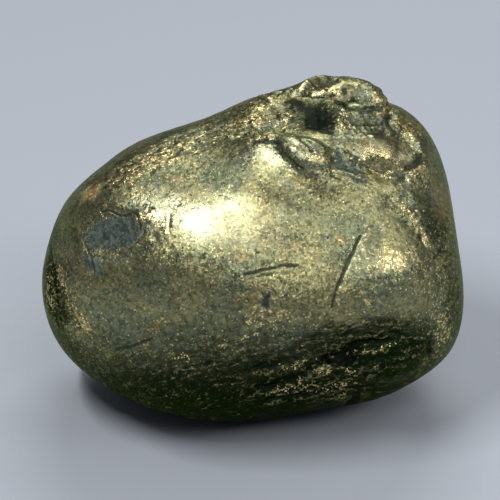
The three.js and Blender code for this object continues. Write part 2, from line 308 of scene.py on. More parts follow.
def near_line(p, normal, path, far, taper=TAPER):
    """The points nearer than far to a line: which they are, how far away, how far to
    the left of the line, and how much of the line is left there."""
    low, high = path.min(0) - far, path.max(0) + far
    chosen = np.flatnonzero(((p > low) & (p < high)).all(1))
    q, out = p[chosen], normal[chosen]
    best = np.full(len(q), np.inf)
    side, at = np.zeros(len(q)), np.zeros(len(q))
    done = 0.0
    for a, b in zip(path[:-1], path[1:]):
        run = b - a
        length = max(np.linalg.norm(run), 1e-6)
        share = np.clip((q - a) @ run / length**2, 0, 1)
        gap = q - a - share[:, None] * run
        distance = np.linalg.norm(gap, axis=1)
        left = np.cross(out, run)
        left /= np.linalg.norm(left, axis=1)[:, None] + 1e-9
        nearer = distance < best
        best[nearer] = distance[nearer]
        side[nearer] = np.einsum("ij,ij->i", gap, left)[nearer]
        at[nearer] = (done + share * length)[nearer]
        done += length
    fade = smooth(at / taper) * smooth((done - at) / taper)
    return chosen, best, side, fade


def ledge(p, normal, path, drop, edge, reach, lip=0.0, taper=TAPER):
    """How a ledge moves the skin, and where its worn edge is, which the finish paints lighter, partly
    for wear and partly as a painted glint.
    """
    chosen, distance, side, fade = near_line(p, normal, path, reach, taper)
    sunk = -drop * smooth(side / edge) * (1 - smooth(distance / reach))
    lifted = lip * np.exp(-((distance / edge) ** 2))
    shine = np.exp(-(((side + 0.3 * EDGE_SHINE) / EDGE_SHINE) ** 2)) * (distance < 3 * EDGE_SHINE)
    moved, worn = np.zeros(len(p)), np.zeros(len(p))
    moved[chosen] = fade * np.where(side > 0, sunk, lifted)
    worn[chosen] = fade * shine
    return moved, worn


def groove(p, normal, path, depth, width, taper=TAPER):
    chosen, distance, _, fade = near_line(p, normal, path, 3 * width, taper)
    moved = np.zeros(len(p))
    moved[chosen] = -depth * fade * np.exp(-((distance / width) ** 2))
    return moved


print("edges are worn bright over", EDGE_SHINE, "mm")

# %% Draw the main ledges and grooves
# line, drop, width of the edge, reach, and lip and taper where it has its own
FRONT_LEDGES = {
    "broken rim": ([(-0.9, 7.2), (1.1, 7.15), (2.3, 6.75), (3.2, 5.95), (4.6, 5.3), (6.2, 4.8),
                    (8.0, 4.5), (9.9, 4.1), (11.1, 3.2), (12.2, 1.8)], 0.42, 0.9, 4.4, 0.1, 3.5),
    "knob's brow": ([(7.4, 10.5), (6.0, 10.7), (4.6, 10.6), (3.0, 10.1)], 0.7, 0.4, 3.0, 0.1, 1.2),
    "plate's edge": ([(11.0, 4.9), (9.4, 4.9), (8.0, 5.6), (6.7, 6.3), (5.7, 7.3)], 0.15, 0.3, 1.4),
    "upper crease": ([(-11.2, 2.6), (-8.7, 4.6), (-6.2, 5.8), (-3.3, 6.75), (-0.5, 7.15), (1.2, 7.3)],
     0.28, 0.35, 3.2),
    "shoulder arc": ([(12.0, -0.4), (11.4, 0.9), (10.0, 2.4), (8.6, 3.6)], 0.2, 0.3, 1.6),
    "lower lobe's top": ([(6.3, -7.9), (7.0, -7.4), (8.8, -6.9), (10.2, -6.5), (11.0, -6.3)],
     0.38, 0.45, 3.4, 0.1),
    "layer 1": ([(-5.6, -8.7), (-3.3, -7.7), (-0.8, -7.0), (1.6, -6.5), (3.8, -6.3)], 0.2, 0.7, 2.6),
    "layer 2": ([(-0.8, -8.9), (1.6, -8.3), (3.6, -7.75), (5.6, -7.4)], 0.3, 0.3, 2.2),
    "layer 3": ([(-0.7, -10.5), (1.55, -10.0), (3.4, -9.25), (4.5, -8.6), (5.7, -8.2), (7.3, -8.8)],
     0.4, 0.3, 2.2, 0.12),
    "layer 4": ([(0.2, -11.3), (2.4, -11.0), (4.3, -10.65), (6.2, -10.2), (8.4, -10.1)], 0.3, 0.3, 1.8),
    "left plate 1": ([(-12.8, -3.2), (-13.2, -2.0), (-13.7, -0.9), (-14.0, 0.2)], 0.3, 0.3, 1.8, 0.05),
    "left plate 2": ([(-10.9, -6.8), (-11.5, -5.9), (-12.2, -5.05), (-12.8, -4.3), (-13.3, -3.4)],
     0.3, 0.3, 1.8, 0.05),
}
BACK_LEDGES = {
    "back rim": ([(9.6, 6.6), (6.2, 5.0), (2.4, 4.5), (-1.2, 2.9), (-4.6, 2.5)], 0.42, 0.7, 4.5),
    "back layer 1": ([(12.2, 0.6), (9.7, -0.6), (7.4, -0.9), (4.3, -2.5)], 0.3, 0.65, 2.8),
    "back layer 2": ([(-0.6, -0.2), (-3.9, -0.9), (-6.2, -2.3), (-10.6, -3.1)], 0.3, 0.65, 2.6),
    "back layer 3": ([(6.4, -4.4), (3.0, -5.0), (-0.2, -6.6), (-3.8, -7.1), (-7.4, -8.6)],
     0.34, 0.65, 3.0),
}
# line, depth, half width; a negative depth is a ridge
FRONT_GROOVES = {
    "pit's tail": ([(1.2, 9.8), (2.4, 9.6), (3.8, 9.3)], 0.25, 0.5),
    "knob's heel": ([(9.6, 10.4), (9.7, 9.8), (9.7, 9.1), (9.3, 8.4)], 0.5, 0.45),
    "channel": ([(5.5, 6.9), (5.9, 5.9), (7.0, 5.2), (8.3, 4.8)], 0.3, 0.4),
    "plate's rim": ([(10.5, 8.4), (11.2, 7.4), (11.4, 6.3), (10.9, 5.5)], -0.45, 0.45),
    "crack by the rim": ([(12.1, 7.2), (12.0, 6.5), (11.8, 5.9), (11.1, 5.2)], 0.45, 0.35),
    "valley": ([(7.6, 1.6), (7.0, 0.3), (6.2, -1.35), (5.7, -2.8), (5.2, -4.2)], 0.2, 0.7),
    "patch's tail": ([(-11.4, -0.4), (-11.0, -1.3), (-10.4, -2.6)], 0.3, 0.5),
    "corner groove": ([(12.5, -5.9), (12.35, -6.8), (12.3, -8.2)], 0.35, 0.35),
    "bottom notch": ([(7.0, -10.1), (7.15, -10.8), (7.0, -11.5)], 0.4, 0.4),
}
BACK_GROOVES = {
    "knob's back crease": ([(2.0, 9.4), (4.6, 8.7), (7.6, 8.6), (10.4, 8.1)], 0.5, 0.6),
}
print("main lines:", sum(map(len, (FRONT_LEDGES, BACK_LEDGES, FRONT_GROOVES, BACK_GROOVES))))

# %% Cut the main ledges and grooves into the skin
EDGE_WANDER, EDGE_CHIPS, MAIN_EDGE_SHINE = 0.22, 0.10, 0.4
chipped = pebble + EDGE_WANDER * wander(pebble, 1.6, 3) + EDGE_CHIPS * wander(pebble, 0.5, 7)
out = normals_of(skin)
cuts, worn_edges = np.zeros(len(skin)), np.zeros(len(skin))
for back, line, *sizes in sides(FRONT_LEDGES.values(), BACK_LEDGES.values()):
    moved, worn = ledge(chipped, out, on_pebble(spline(line), back), *sizes)
    cuts += moved
    worn_edges = np.maximum(worn_edges, MAIN_EDGE_SHINE * worn)
for back, line, depth, width in sides(FRONT_GROOVES.values(), BACK_GROOVES.values()):
    cuts += groove(chipped, out, on_pebble(spline(line), back), depth, width)
skin = skin + out * cuts[:, None]
print("cuts from", cuts.min().round(2), "to", cuts.max().round(2), "mm")

# %% [markdown]
# ## The fine marks
# Now come the marks that make this stone itself: thin ledges, cracks, scratches and flecks. Each
# is drawn where it is seen, so its x and y are looked up on the lumpy skin and not on the
# smooth pebble. A thin line is also kept as a number that falls off on both sides of it: the
# finish can draw it far crisper than the skin's squares are.

# %% Look places up on the lumpy skin
LOOK_AROUND, SAME_SHEET, EDGE_ON, SOFTENED = 0.4, 0.7, 0.03, 0.02


def on_skin(spots, back=False):
    """The points of the skin seen at each x and y from the front, or through it on the back."""
    towards = -1 if back else 1
    facing = np.flatnonzero(out[:, 2] * towards > EDGE_ON)
    found = []
    for spot in np.atleast_2d(spots):
        gap = np.hypot(skin[facing, 0] - spot[0], skin[facing, 1] - spot[1])
        near = gap < max(LOOK_AROUND, 1.2 * gap.min())
        points, gap = skin[facing[near]], gap[near]
        height = points[:, 2] * towards
        top = height > height.max() - SAME_SHEET
        weight = 1 / (gap[top] + SOFTENED) ** 2
        found.append(weight @ points[top] / weight.sum())
    return np.array(found)


out = normals_of(skin)
print("under the highlight:", on_skin((-3.2, 2.1)).round(2))

# %% Raise the small lumps and sink the small pits
# x, y, half length, half width, slope, rise, flatness
SMALL_FORMS = [
    (3.5, 6.9, 1.3, 0.6, -20, 0.1, 2), (3, 6.2, 1.8, 0.5, -43, 0.55, 1),
    (4.9, 5.9, 0.5, 0.5, 0, 0.12, 1), (5.9, 8.5, 0.45, 0.6, 0, 0.28, 1), (6.3, 8, 0.3, 0.3, 0, 0.2, 1),
    (2.2, 8.8, 0.5, 0.4, 0, 0.22, 1), (2.6, 7.9, 0.5, 0.6, 20, 0.12, 2),
    (6.7, 10.2, 1.1, 0.55, 0, -0.32, 1), (8.5, 10.5, 1.1, 0.4, -50, 0.3, 1),
    (5.9, 9.6, 0.9, 0.22, -5, 0.18, 1), (8, 9.2, 1.6, 0.2, 3, 0.14, 1),
    (8.1, 8.3, 1.5, 0.18, 0, 0.14, 1), (11.1, 7.4, 1, 0.35, -80, 0.28, 1),
    (11.3, 6.4, 0.8, 0.3, 70, 0.25, 1), (11.7, 5.4, 0.5, 0.4, 0, 0.26, 1),
    (12.4, 5.4, 0.35, 0.5, 0, 0.2, 1), (11, 4.6, 0.5, 0.35, -20, 0.16, 1),
    (11.1, 3, 0.4, 0.3, 30, 0.15, 1), (9.3, 6.1, 0.8, 0.5, -30, 0.14, 1),
    (10.2, 6.7, 0.4, 0.8, 0, -0.12, 1), (7.2, 5.7, 0.5, 0.4, -30, 0.16, 1),
    (1.2, 9.1, 0.8, 0.4, 10, -0.16, 1), (-0.3, 8, 0.9, 0.3, 10, -0.12, 1),
    (1.3, 10.2, 0.6, 0.4, 20, 0.15, 1), (5.7, -8.4, 0.8, 0.35, 0, 0.22, 1),
    (6.4, -7.9, 0.6, 0.3, 20, -0.25, 1), (0.7, -3.2, 0.18, 0.16, 0, -0.14, 1),
    (1.1, -3.5, 0.15, 0.14, 0, -0.12, 1), (0.9, -4, 0.22, 0.16, 30, -0.14, 1),
    (1.3, -4.2, 0.13, 0.13, 0, -0.1, 1), (0.6, -3.8, 0.12, 0.15, 0, -0.1, 1),
    (1.5, -3.3, 0.12, 0.1, 0, -0.08, 1), (-2.9, -8, 0.26, 0.2, 20, -0.22, 1),
    (-5.2, -7.4, 0.16, 0.14, 0, -0.1, 1), (-4.5, -8.3, 0.16, 0.14, 0, -0.1, 1),
    (-0.3, -5.9, 0.18, 0.14, 0, -0.1, 1), (7.8, -3.9, 0.3, 0.12, -20, 0.08, 1),
    (13, -0.9, 0.45, 0.35, 30, 0.22, 1), (13.9, -0.9, 0.35, 0.3, 0, 0.15, 1),
    (13, -2.6, 0.15, 0.45, 10, -0.15, 1), (13.9, -3.4, 0.2, 0.3, 0, -0.15, 1),
    (12.2, -3.6, 0.3, 0.16, 0, -0.12, 1), (14.2, 0.9, 0.2, 0.3, 0, -0.15, 1),
    (12.9, 0.6, 0.3, 0.2, 40, -0.15, 1), (-8.6, -0.2, 0.25, 0.2, 0, 0.08, 1),
    (-7.3, 1.9, 0.35, 0.25, 20, 0.12, 1), (-6.6, 0.6, 0.3, 0.2, 30, -0.1, 1),
    (-12.2, 1, 0.3, 0.4, 0, -0.12, 1), (-13.9, -4.6, 0.4, 0.6, 20, -0.15, 1),
    (3.2, -5.4, 0.35, 0.2, 10, -0.12, 1), (9.9, -4, 0.3, 0.2, 0, -0.1, 1),
    (-7, 5.2, 0.4, 0.15, 25, -0.12, 1),
]
BACK_SMALL_FORMS = [
    (6, 6.6, 0.8, 0.5, 10, 0.25, 1), (8.4, 7, 0.6, 0.6, 0, -0.25, 1), (2, 1, 0.5, 0.4, 30, -0.25, 1),
    (3.4, 1.6, 0.4, 0.3, 0, 0.2, 1), (-9.8, -3.8, 0.6, 0.4, 30, 0.2, 1),
    (-11.4, -2.8, 0.4, 0.6, 0, -0.2, 1), (0.4, -6.4, 0.8, 0.3, 20, 0.2, 1),
    (2.2, -7.2, 0.5, 0.3, 20, -0.2, 1), (-4.4, 3.4, 0.3, 0.25, 0, -0.16, 1),
    (-1, 7.2, 0.7, 0.3, 20, -0.15, 1), (10.8, -3.6, 0.3, 0.3, 0, -0.16, 1),
    (-6.6, -7.4, 0.5, 0.3, -20, 0.15, 1),
]
BEND = 0.10
bent = skin + BEND * wander(skin, 0.6, 51)
small = np.zeros(len(skin))
for back, x, y, long, wide, slope, rise, flatness in sides(SMALL_FORMS, BACK_SMALL_FORMS):
    middle, deep = on_skin((x, y), back), 2 * max(long, wide)
    small += rise * bell(bent, middle, long, wide, deep, slope, flatness)
skin = skin + out * small[:, None]
out = normals_of(skin)
print("small forms from", small.min().round(2), "to", small.max().round(2), "mm")

# %% Draw the fine ledges
# the line, how deep, how wide the edge, how far it reaches, how bright the edge is
FINE_LEDGES = [
    ([(6.2, 11), (5.6, 10.8), (5, 10.7), (4.2, 10.6), (3.6, 10.8), (3, 11)], 0.3, 0.14, 0.9, 0.9),
    ([(6.3, 11.2), (6.7, 10.9), (7.1, 10.5)], 0.2, 0.14, 0.7, 0.3),
    ([(9.4, 9.7), (8.6, 9.5), (8, 9.5), (7.3, 9.3)], 0.25, 0.12, 0.7, 0.9),
    ([(6.5, 9.5), (5.8, 9.5), (5.2, 9.7)], 0.15, 0.12, 0.5, 0.8),
    ([(9.4, 8.8), (8, 8.6), (6.6, 8.7)], 0.15, 0.12, 0.5, 0.4),
    ([(9.4, 8.1), (8.1, 8), (6.7, 8.1)], 0.15, 0.12, 0.5, 0.4),
    ([(10.4, 4.2), (9.5, 4.9), (8.5, 5.3), (7.6, 5.7), (6.2, 6.3), (5.5, 7)], 0.1, 0.12, 0.6, 0.5),
    ([(8.6, 4.1), (7.6, 4.6), (6.2, 5.1), (4.9, 5.3)], 0.12, 0.12, 0.5, 1),
    ([(6.2, 4.4), (5.6, 4.7), (5.1, 4.85)], 0.1, 0.1, 0.4, 0.6),
    ([(10.2, 5.3), (11, 5.5), (11.5, 6.1), (11.7, 6.7), (11.5, 7.3), (11, 7.9)], 0.25, 0.14, 0.8, 0.9),
    ([(10.2, 7), (10.6, 6.4), (10.4, 5.8)], 0.1, 0.1, 0.5, 0.5),
    ([(-0.1, 7), (1.1, 7), (2, 6.9)], 0.05, 0.1, 0.5, 0.7),
    ([(3.4, -9.3), (2.5, -9.5), (1.5, -10), (-0.7, -10.5)], 0.16, 0.12, 0.8, 1),
    ([(3.5, -7.6), (3, -8.1), (1.6, -8.3)], 0.14, 0.12, 0.6, 0.9),
    ([(1.1, -6.2), (0.3, -6.7)], 0.12, 0.12, 0.5, 0.8),
    ([(2.5, -6.4), (1.7, -6.4)], 0.1, 0.12, 0.5, 0.7),
    ([(1.6, -7.3), (3.4, -7.4)], 0.14, 0.12, 0.6, 0.4),
    ([(-3.2, -7.7), (-4.2, -8.1), (-5.6, -8.8)], 0.12, 0.12, 0.7, 0.6),
    ([(7.2, -8.8), (6.4, -8.4), (5.7, -8.1), (5, -8.3), (4.2, -8.8)], 0.2, 0.13, 0.7, 1),
    ([(6.1, -7.6), (5.2, -7.5), (4.5, -7.4), (3.4, -8)], 0.14, 0.12, 0.5, 0.8),
    ([(5.4, -7.9), (4.5, -8.1), (3.9, -8.3), (3.4, -8.6)], 0.12, 0.11, 0.4, 0.7),
    ([(7.1, -8.9), (6.1, -9), (5, -8.9), (3.9, -9.3)], 0.14, 0.12, 0.5, 0.8),
    ([(7.5, -9.2), (6.3, -9.4), (5.2, -9.6), (3.9, -9.8)], 0.14, 0.12, 0.5, 0.8),
    ([(7.5, -10.1), (6.6, -10), (5.5, -9.9), (4.5, -10.2), (3.4, -10.2)], 0.14, 0.12, 0.5, 0.8),
    ([(6.3, -10.1), (5.5, -10.4), (4.8, -10.6), (4.1, -10.7)], 0.16, 0.12, 0.5, 1),
    ([(8.8, -10), (8.2, -9.9)], 0.1, 0.12, 0.4, 0.6),
    ([(7, -7.4), (7.8, -7.2), (8.9, -6.9), (10.1, -6.6)], 0.12, 0.13, 0.9, 0.8),
    ([(6.2, -5.9), (7.6, -5.2), (9.2, -5.1)], 0.1, 0.14, 0.7, 0.6),
    ([(8.2, -6), (9.6, -5.6), (11.2, -5.5), (12.4, -5)], 0.06, 0.13, 0.6, 0.8),
    ([(3.2, -5.2), (4.4, -5.6), (5.8, -5.5), (7, -5.9)], 0.12, 0.14, 0.6, 0.5),
    ([(-11.4, -6.1), (-12.1, -5), (-12.7, -3.8)], 0.2, 0.13, 0.9, 1),
    ([(-13.7, -3.4), (-14.1, -2.5), (-14.4, -1.5)], 0.14, 0.12, 0.7, 0.9),
    ([(-12.4, -3.6), (-12.9, -2.9), (-13.3, -2), (-13.9, -1.2)], 0.16, 0.12, 0.7, 1),
    ([(-12.9, 1.8), (-12.1, 3.1), (-10.9, 4.3)], 0.12, 0.12, 0.7, 0.5),
    ([(-11.6, 3.2), (-10, 4.6), (-8, 5.6)], 0.12, 0.12, 0.7, 0.6),
    ([(-9.4, 5.2), (-7.3, 6.3), (-5, 7.2)], 0.12, 0.12, 0.7, 0.6),
    ([(-7.2, 6.9), (-4.5, 8), (-2.2, 8.7)], 0.12, 0.12, 0.6, 0.7),
    ([(-4.4, 7.3), (-2, 8.2), (0.2, 8.7)], 0.12, 0.12, 0.7, 0.6),
    ([(-1.8, 7.6), (0.2, 8), (1.6, 8)], 0.12, 0.12, 0.6, 0.6),
    ([(11.5, 0.7), (11.1, 1.6), (10.2, 2.5), (9, 3.7)], 0.14, 0.12, 0.6, 0.7),
    ([(12.4, -0.3), (11.9, 0.4), (11.5, 1.4), (10.6, 2.6)], 0.14, 0.12, 0.6, 0.8),
]
BACK_FINE_LEDGES = [
    ([(9, 5.6), (6.4, 4.4), (3.5, 3.6), (0.6, 2.2)], 0.18, 0.14, 1, 0.7),
    ([(11.4, -1.6), (8.6, -2.4), (6.1, -3.9)], 0.16, 0.14, 0.9, 0.8),
    ([(4, -5.8), (1, -7.6), (-2.4, -8.4)], 0.16, 0.14, 0.8, 0.8),
    ([(-2.4, 5.6), (-5.4, 4.4), (-8.2, 4.6)], 0.16, 0.14, 0.9, 0.6),
    ([(-8.2, -2), (-10.2, -4.4), (-11.6, -5.2)], 0.18, 0.14, 0.9, 0.8),
    ([(1.8, -1), (-0.6, -2.6), (-3.4, -3.2)], 0.14, 0.14, 0.8, 0.5),
]
print("fine ledges:", len(FINE_LEDGES), "in front and", len(BACK_FINE_LEDGES), "behind")

# %% Draw the cracks and scratches
# the line, how deep, half width, how dark
CRACKS = [
    ([(-5.5, 2.5), (-5.6, 1.3), (-5.6, 0.2)], 0.03, 0.07, 0.7),
    ([(-4, 1.3), (-5, 0.4)], 0.02, 0.06, 0.6), ([(-7.8, 3), (-6.9, 2.4)], 0.02, 0.06, 0.6),
    ([(-9.7, -7.2), (-8.2, -6.8), (-6.7, -6.2)], 0.04, 0.075, 1),
    ([(-0.9, -1.9), (0.3, -1.7), (1.6, -1.4), (3.4, -1.2)], 0.03, 0.075, 0.95),
    ([(0.1, -2.1), (0.9, -1.9), (1.7, -1.9)], 0.03, 0.08, 0.8),
    ([(0.9, -1), (2, -1.6)], 0.03, 0.07, 0.6),
    ([(7.5, 1), (7.1, 0.2), (6.6, -0.8), (6.1, -2), (5.6, -3.2), (5.3, -4.4)], 0.06, 0.085, 0.95),
    ([(6.3, -2.5), (8.6, -2.2), (11.1, -2)], 0.02, 0.06, 0.6),
    ([(7, -3.1), (8.8, -2.4)], 0.02, 0.06, 0.5),
    ([(8.6, -4.3), (11.2, -4.4), (13.7, -4.3)], 0.03, 0.07, 0.7),
    ([(-0.1, -7.3), (-0.3, -8.6), (-0.5, -10)], 0.04, 0.07, 0.9),
    ([(13.2, -1.5), (13.1, -2.8)], 0.05, 0.08, 0.9),
    ([(12.3, -0.9), (12.9, -0.5), (13.5, 0.2)], 0.1, 0.1, 1),
    ([(13.2, -1.4), (13.8, -1.2), (14.2, -0.7)], 0.06, 0.08, 1),
    ([(12.2, -0.1), (11.9, -0.9)], 0.05, 0.09, 0.7), ([(4, 6.8), (4.05, 6.2)], 0.12, 0.12, 1),
    ([(3.4, 7), (3.5, 6.5)], 0.03, 0.06, 0.5),
    ([(3.8, 11.7), (4.7, 12), (5.6, 11.8), (6.2, 11.3)], 0.04, 0.05, 0.7),
    ([(6.3, 11.2), (6.5, 10.8), (6.6, 10.4)], 0.1, 0.13, 1),
    ([(-0.1, 7.1), (1.1, 7.1), (2, 7)], 0.08, 0.11, 1),
    ([(7.4, 9.4), (8, 9.6), (9.3, 9.7)], 0.14, 0.14, 1),
    ([(6.6, 8.6), (7.7, 8.5), (8.9, 8.7)], 0.05, 0.09, 0.7),
    ([(6.8, 8), (8, 7.9), (9.4, 8)], 0.05, 0.09, 0.7),
    ([(11.9, 6.7), (11.7, 6), (11.1, 5.5), (10.3, 5.3)], 0.16, 0.16, 1),
    ([(5.5, 7.1), (6.2, 6.4), (7.6, 5.8), (8.5, 5.4), (9.5, 5), (10.4, 4.3)], 0.04, 0.07, 0.5),
    ([(5.1, 4.9), (5.7, 4.7), (6.2, 4.4)], 0.05, 0.08, 0.9),
    ([(2.1, 7), (2.9, 6.2), (3.6, 5.7), (4.8, 5.3), (5.9, 4.7)], 0.03, 0.06, 0.85),
    ([(10, 5), (10.7, 5.3)], 0.05, 0.08, 0.8), ([(1.6, -7.1), (3.4, -7.2)], 0.05, 0.09, 0.9),
    ([(12.5, -6), (12.4, -6.9), (12.3, -8)], 0.05, 0.09, 0.7),
    ([(-8.6, -3.2), (-8, -4.3)], 0.02, 0.06, 0.5), ([(1.6, 3.6), (3, 3)], 0.02, 0.06, 0.65),
    ([(-2, 4.6), (-0.4, 4.9)], 0.02, 0.06, 0.65),
    ([(-11.2, 1.5), (-10.6, 2.3), (-9.5, 2.4), (-8.9, 2.1), (-8, 2.3), (-7.6, 1.6),
      (-7.7, 0.9)], 0.05, 0.085, 0.95), ([(-9.3, 1.8), (-9.2, 1), (-8.9, 0.2)], 0.02, 0.06, 0.75),
    ([(-10.6, 0.9), (-9.9, 0.7), (-9.2, 1)], 0.02, 0.06, 0.7),
    ([(-11.5, 1.4), (-11.6, 0.4), (-10.9, -0.9), (-10.9, -2.4)], 0.05, 0.09, 0.8),
]
BACK_CRACKS = [
    ([(4.4, 3.2), (3, 0.8), (2.6, -1.8)], 0.1, 0.2, 0.7), ([(-3, 0.6), (-6, -0.4)], 0.05, 0.1, 0.9),
    ([(9, 0.6), (6.2, 0.2), (5.2, 1.2)], 0.04, 0.08, 0.8),
    ([(-9.4, 2.2), (-7.2, 1.6)], 0.03, 0.07, 0.7), ([(-1, -4.2), (-2.2, -6)], 0.04, 0.08, 0.8),
    ([(7.6, -5.6), (5.2, -6.8), (3.8, -8.6)], 0.05, 0.1, 0.8),
]
print("cracks:", len(CRACKS), "in front and", len(BACK_CRACKS), "behind")

# %% Cut the fine ledges and cracks
FINE_WANDER, FINE_CHIPS, SCRATCH_WANDER, SHORT_TAPER = 0.12, 0.08, 0.5, 0.6
CRACK_TAPER, NARROWEST_CUT = 0.3, 0.1
jagged = skin + FINE_WANDER * wander(skin, 0.8, 31) + FINE_CHIPS * wander(skin, 0.3, 41)
scratched = skin + SCRATCH_WANDER * (jagged - skin)
fine, cracks = np.zeros(len(skin)), np.zeros(len(skin))
for back, line, drop, edge, reach, gleam in sides(FINE_LEDGES, BACK_FINE_LEDGES):
    path = on_skin(spline(line), back)
    moved, worn = ledge(jagged, out, path, drop, edge, reach, taper=SHORT_TAPER)
    fine += moved
    worn_edges = np.maximum(worn_edges, gleam * worn)
for back, line, depth, width, dark in sides(CRACKS, BACK_CRACKS):
    path = on_skin(spline(line), back)
    fine += groove(scratched, out, path, depth, max(width, NARROWEST_CUT), SHORT_TAPER)
    chosen, distance, _, fade = near_line(scratched, out, path, 4 * width, CRACK_TAPER)
    darkness = dark * fade * np.clip(1 - distance / (4 * width), 0, 1)
    cracks[chosen] = np.maximum(cracks[chosen], darkness)
skin = skin + out * fine[:, None]
print("fine cuts from", fine.min().round(2), "to", fine.max().round(2), "mm")
print("points in cracks:", (cracks > 0.5).sum())

# %% [markdown]
# ## Leaning the stone back onto its foot
# The drawn face looked straight at us. The real stone lies back by 62 degrees and stands on a
# small worn flat, so everything under the foot's plane is pressed up to it, as tumbling does.

# %% Lean, wear the foot flat and stand on the ground
turn = math.radians(LEAN)
LEANED = np.array([
    [1, 0, 0],
    [0, math.cos(turn), -math.sin(turn)],
    [0, math.sin(turn), math.cos(turn)],
])
leaned = skin @ LEANED.T
leaned[:, 2] = np.maximum(leaned[:, 2], -FOOT_BELOW_CENTRE)
low, high = leaned.min(0), leaned.max(0)
MIDDLE = -np.array([low[0] + high[0], low[1] + high[1], 2 * low[2]]) / 2
standing = leaned + MIDDLE
print("stone, mm:", (high - low).round(2), "with its middle at", MIDDLE.round(3))

# %% [markdown]
# ## The camera
# It stands where the photographer's did: 28 degrees up, in front of the broad face, with a long
# lens, because the two ends of the stone show no strong perspective.

# %% Place the camera
CAMERA_LENS, CAMERA_SENSOR, VIEW_WIDTH = 250, 36, 35.54
AIM_RIGHT, AIM_UP = -0.142, -0.213
tilt = math.radians(CAMERA_ELEVATION)
towards_camera = Vector((0, -math.cos(tilt), math.sin(tilt)))
camera_up = Vector((0, math.sin(tilt), math.cos(tilt)))
aim = Vector(MIDDLE) + Vector((AIM_RIGHT, 0, 0)) + AIM_UP * camera_up
camera = bpy.data.objects.new("camera", bpy.data.cameras.new("camera"))
camera.data.lens, camera.data.sensor_width = CAMERA_LENS, CAMERA_SENSOR
camera.data.clip_start = 10 * MM
camera.location = (aim + towards_camera * VIEW_WIDTH * CAMERA_LENS / CAMERA_SENSOR) * MM
camera.rotation_euler = towards_camera.to_track_quat("Z", "Y").to_euler()
bpy.context.scene.collection.objects.link(camera)
bpy.context.scene.camera = camera
print("camera at, mm:", [round(v / MM, 1) for v in camera.location])

# %% [markdown]
# ## Where the stone looks different
# Colour and wear follow the shape, so the zones are written onto the skin as numbers from 0 to 1,
# and both the fine relief and the finish read them. Painting them as a picture would
# need an unwrapped skin, and numbers on the points do not.

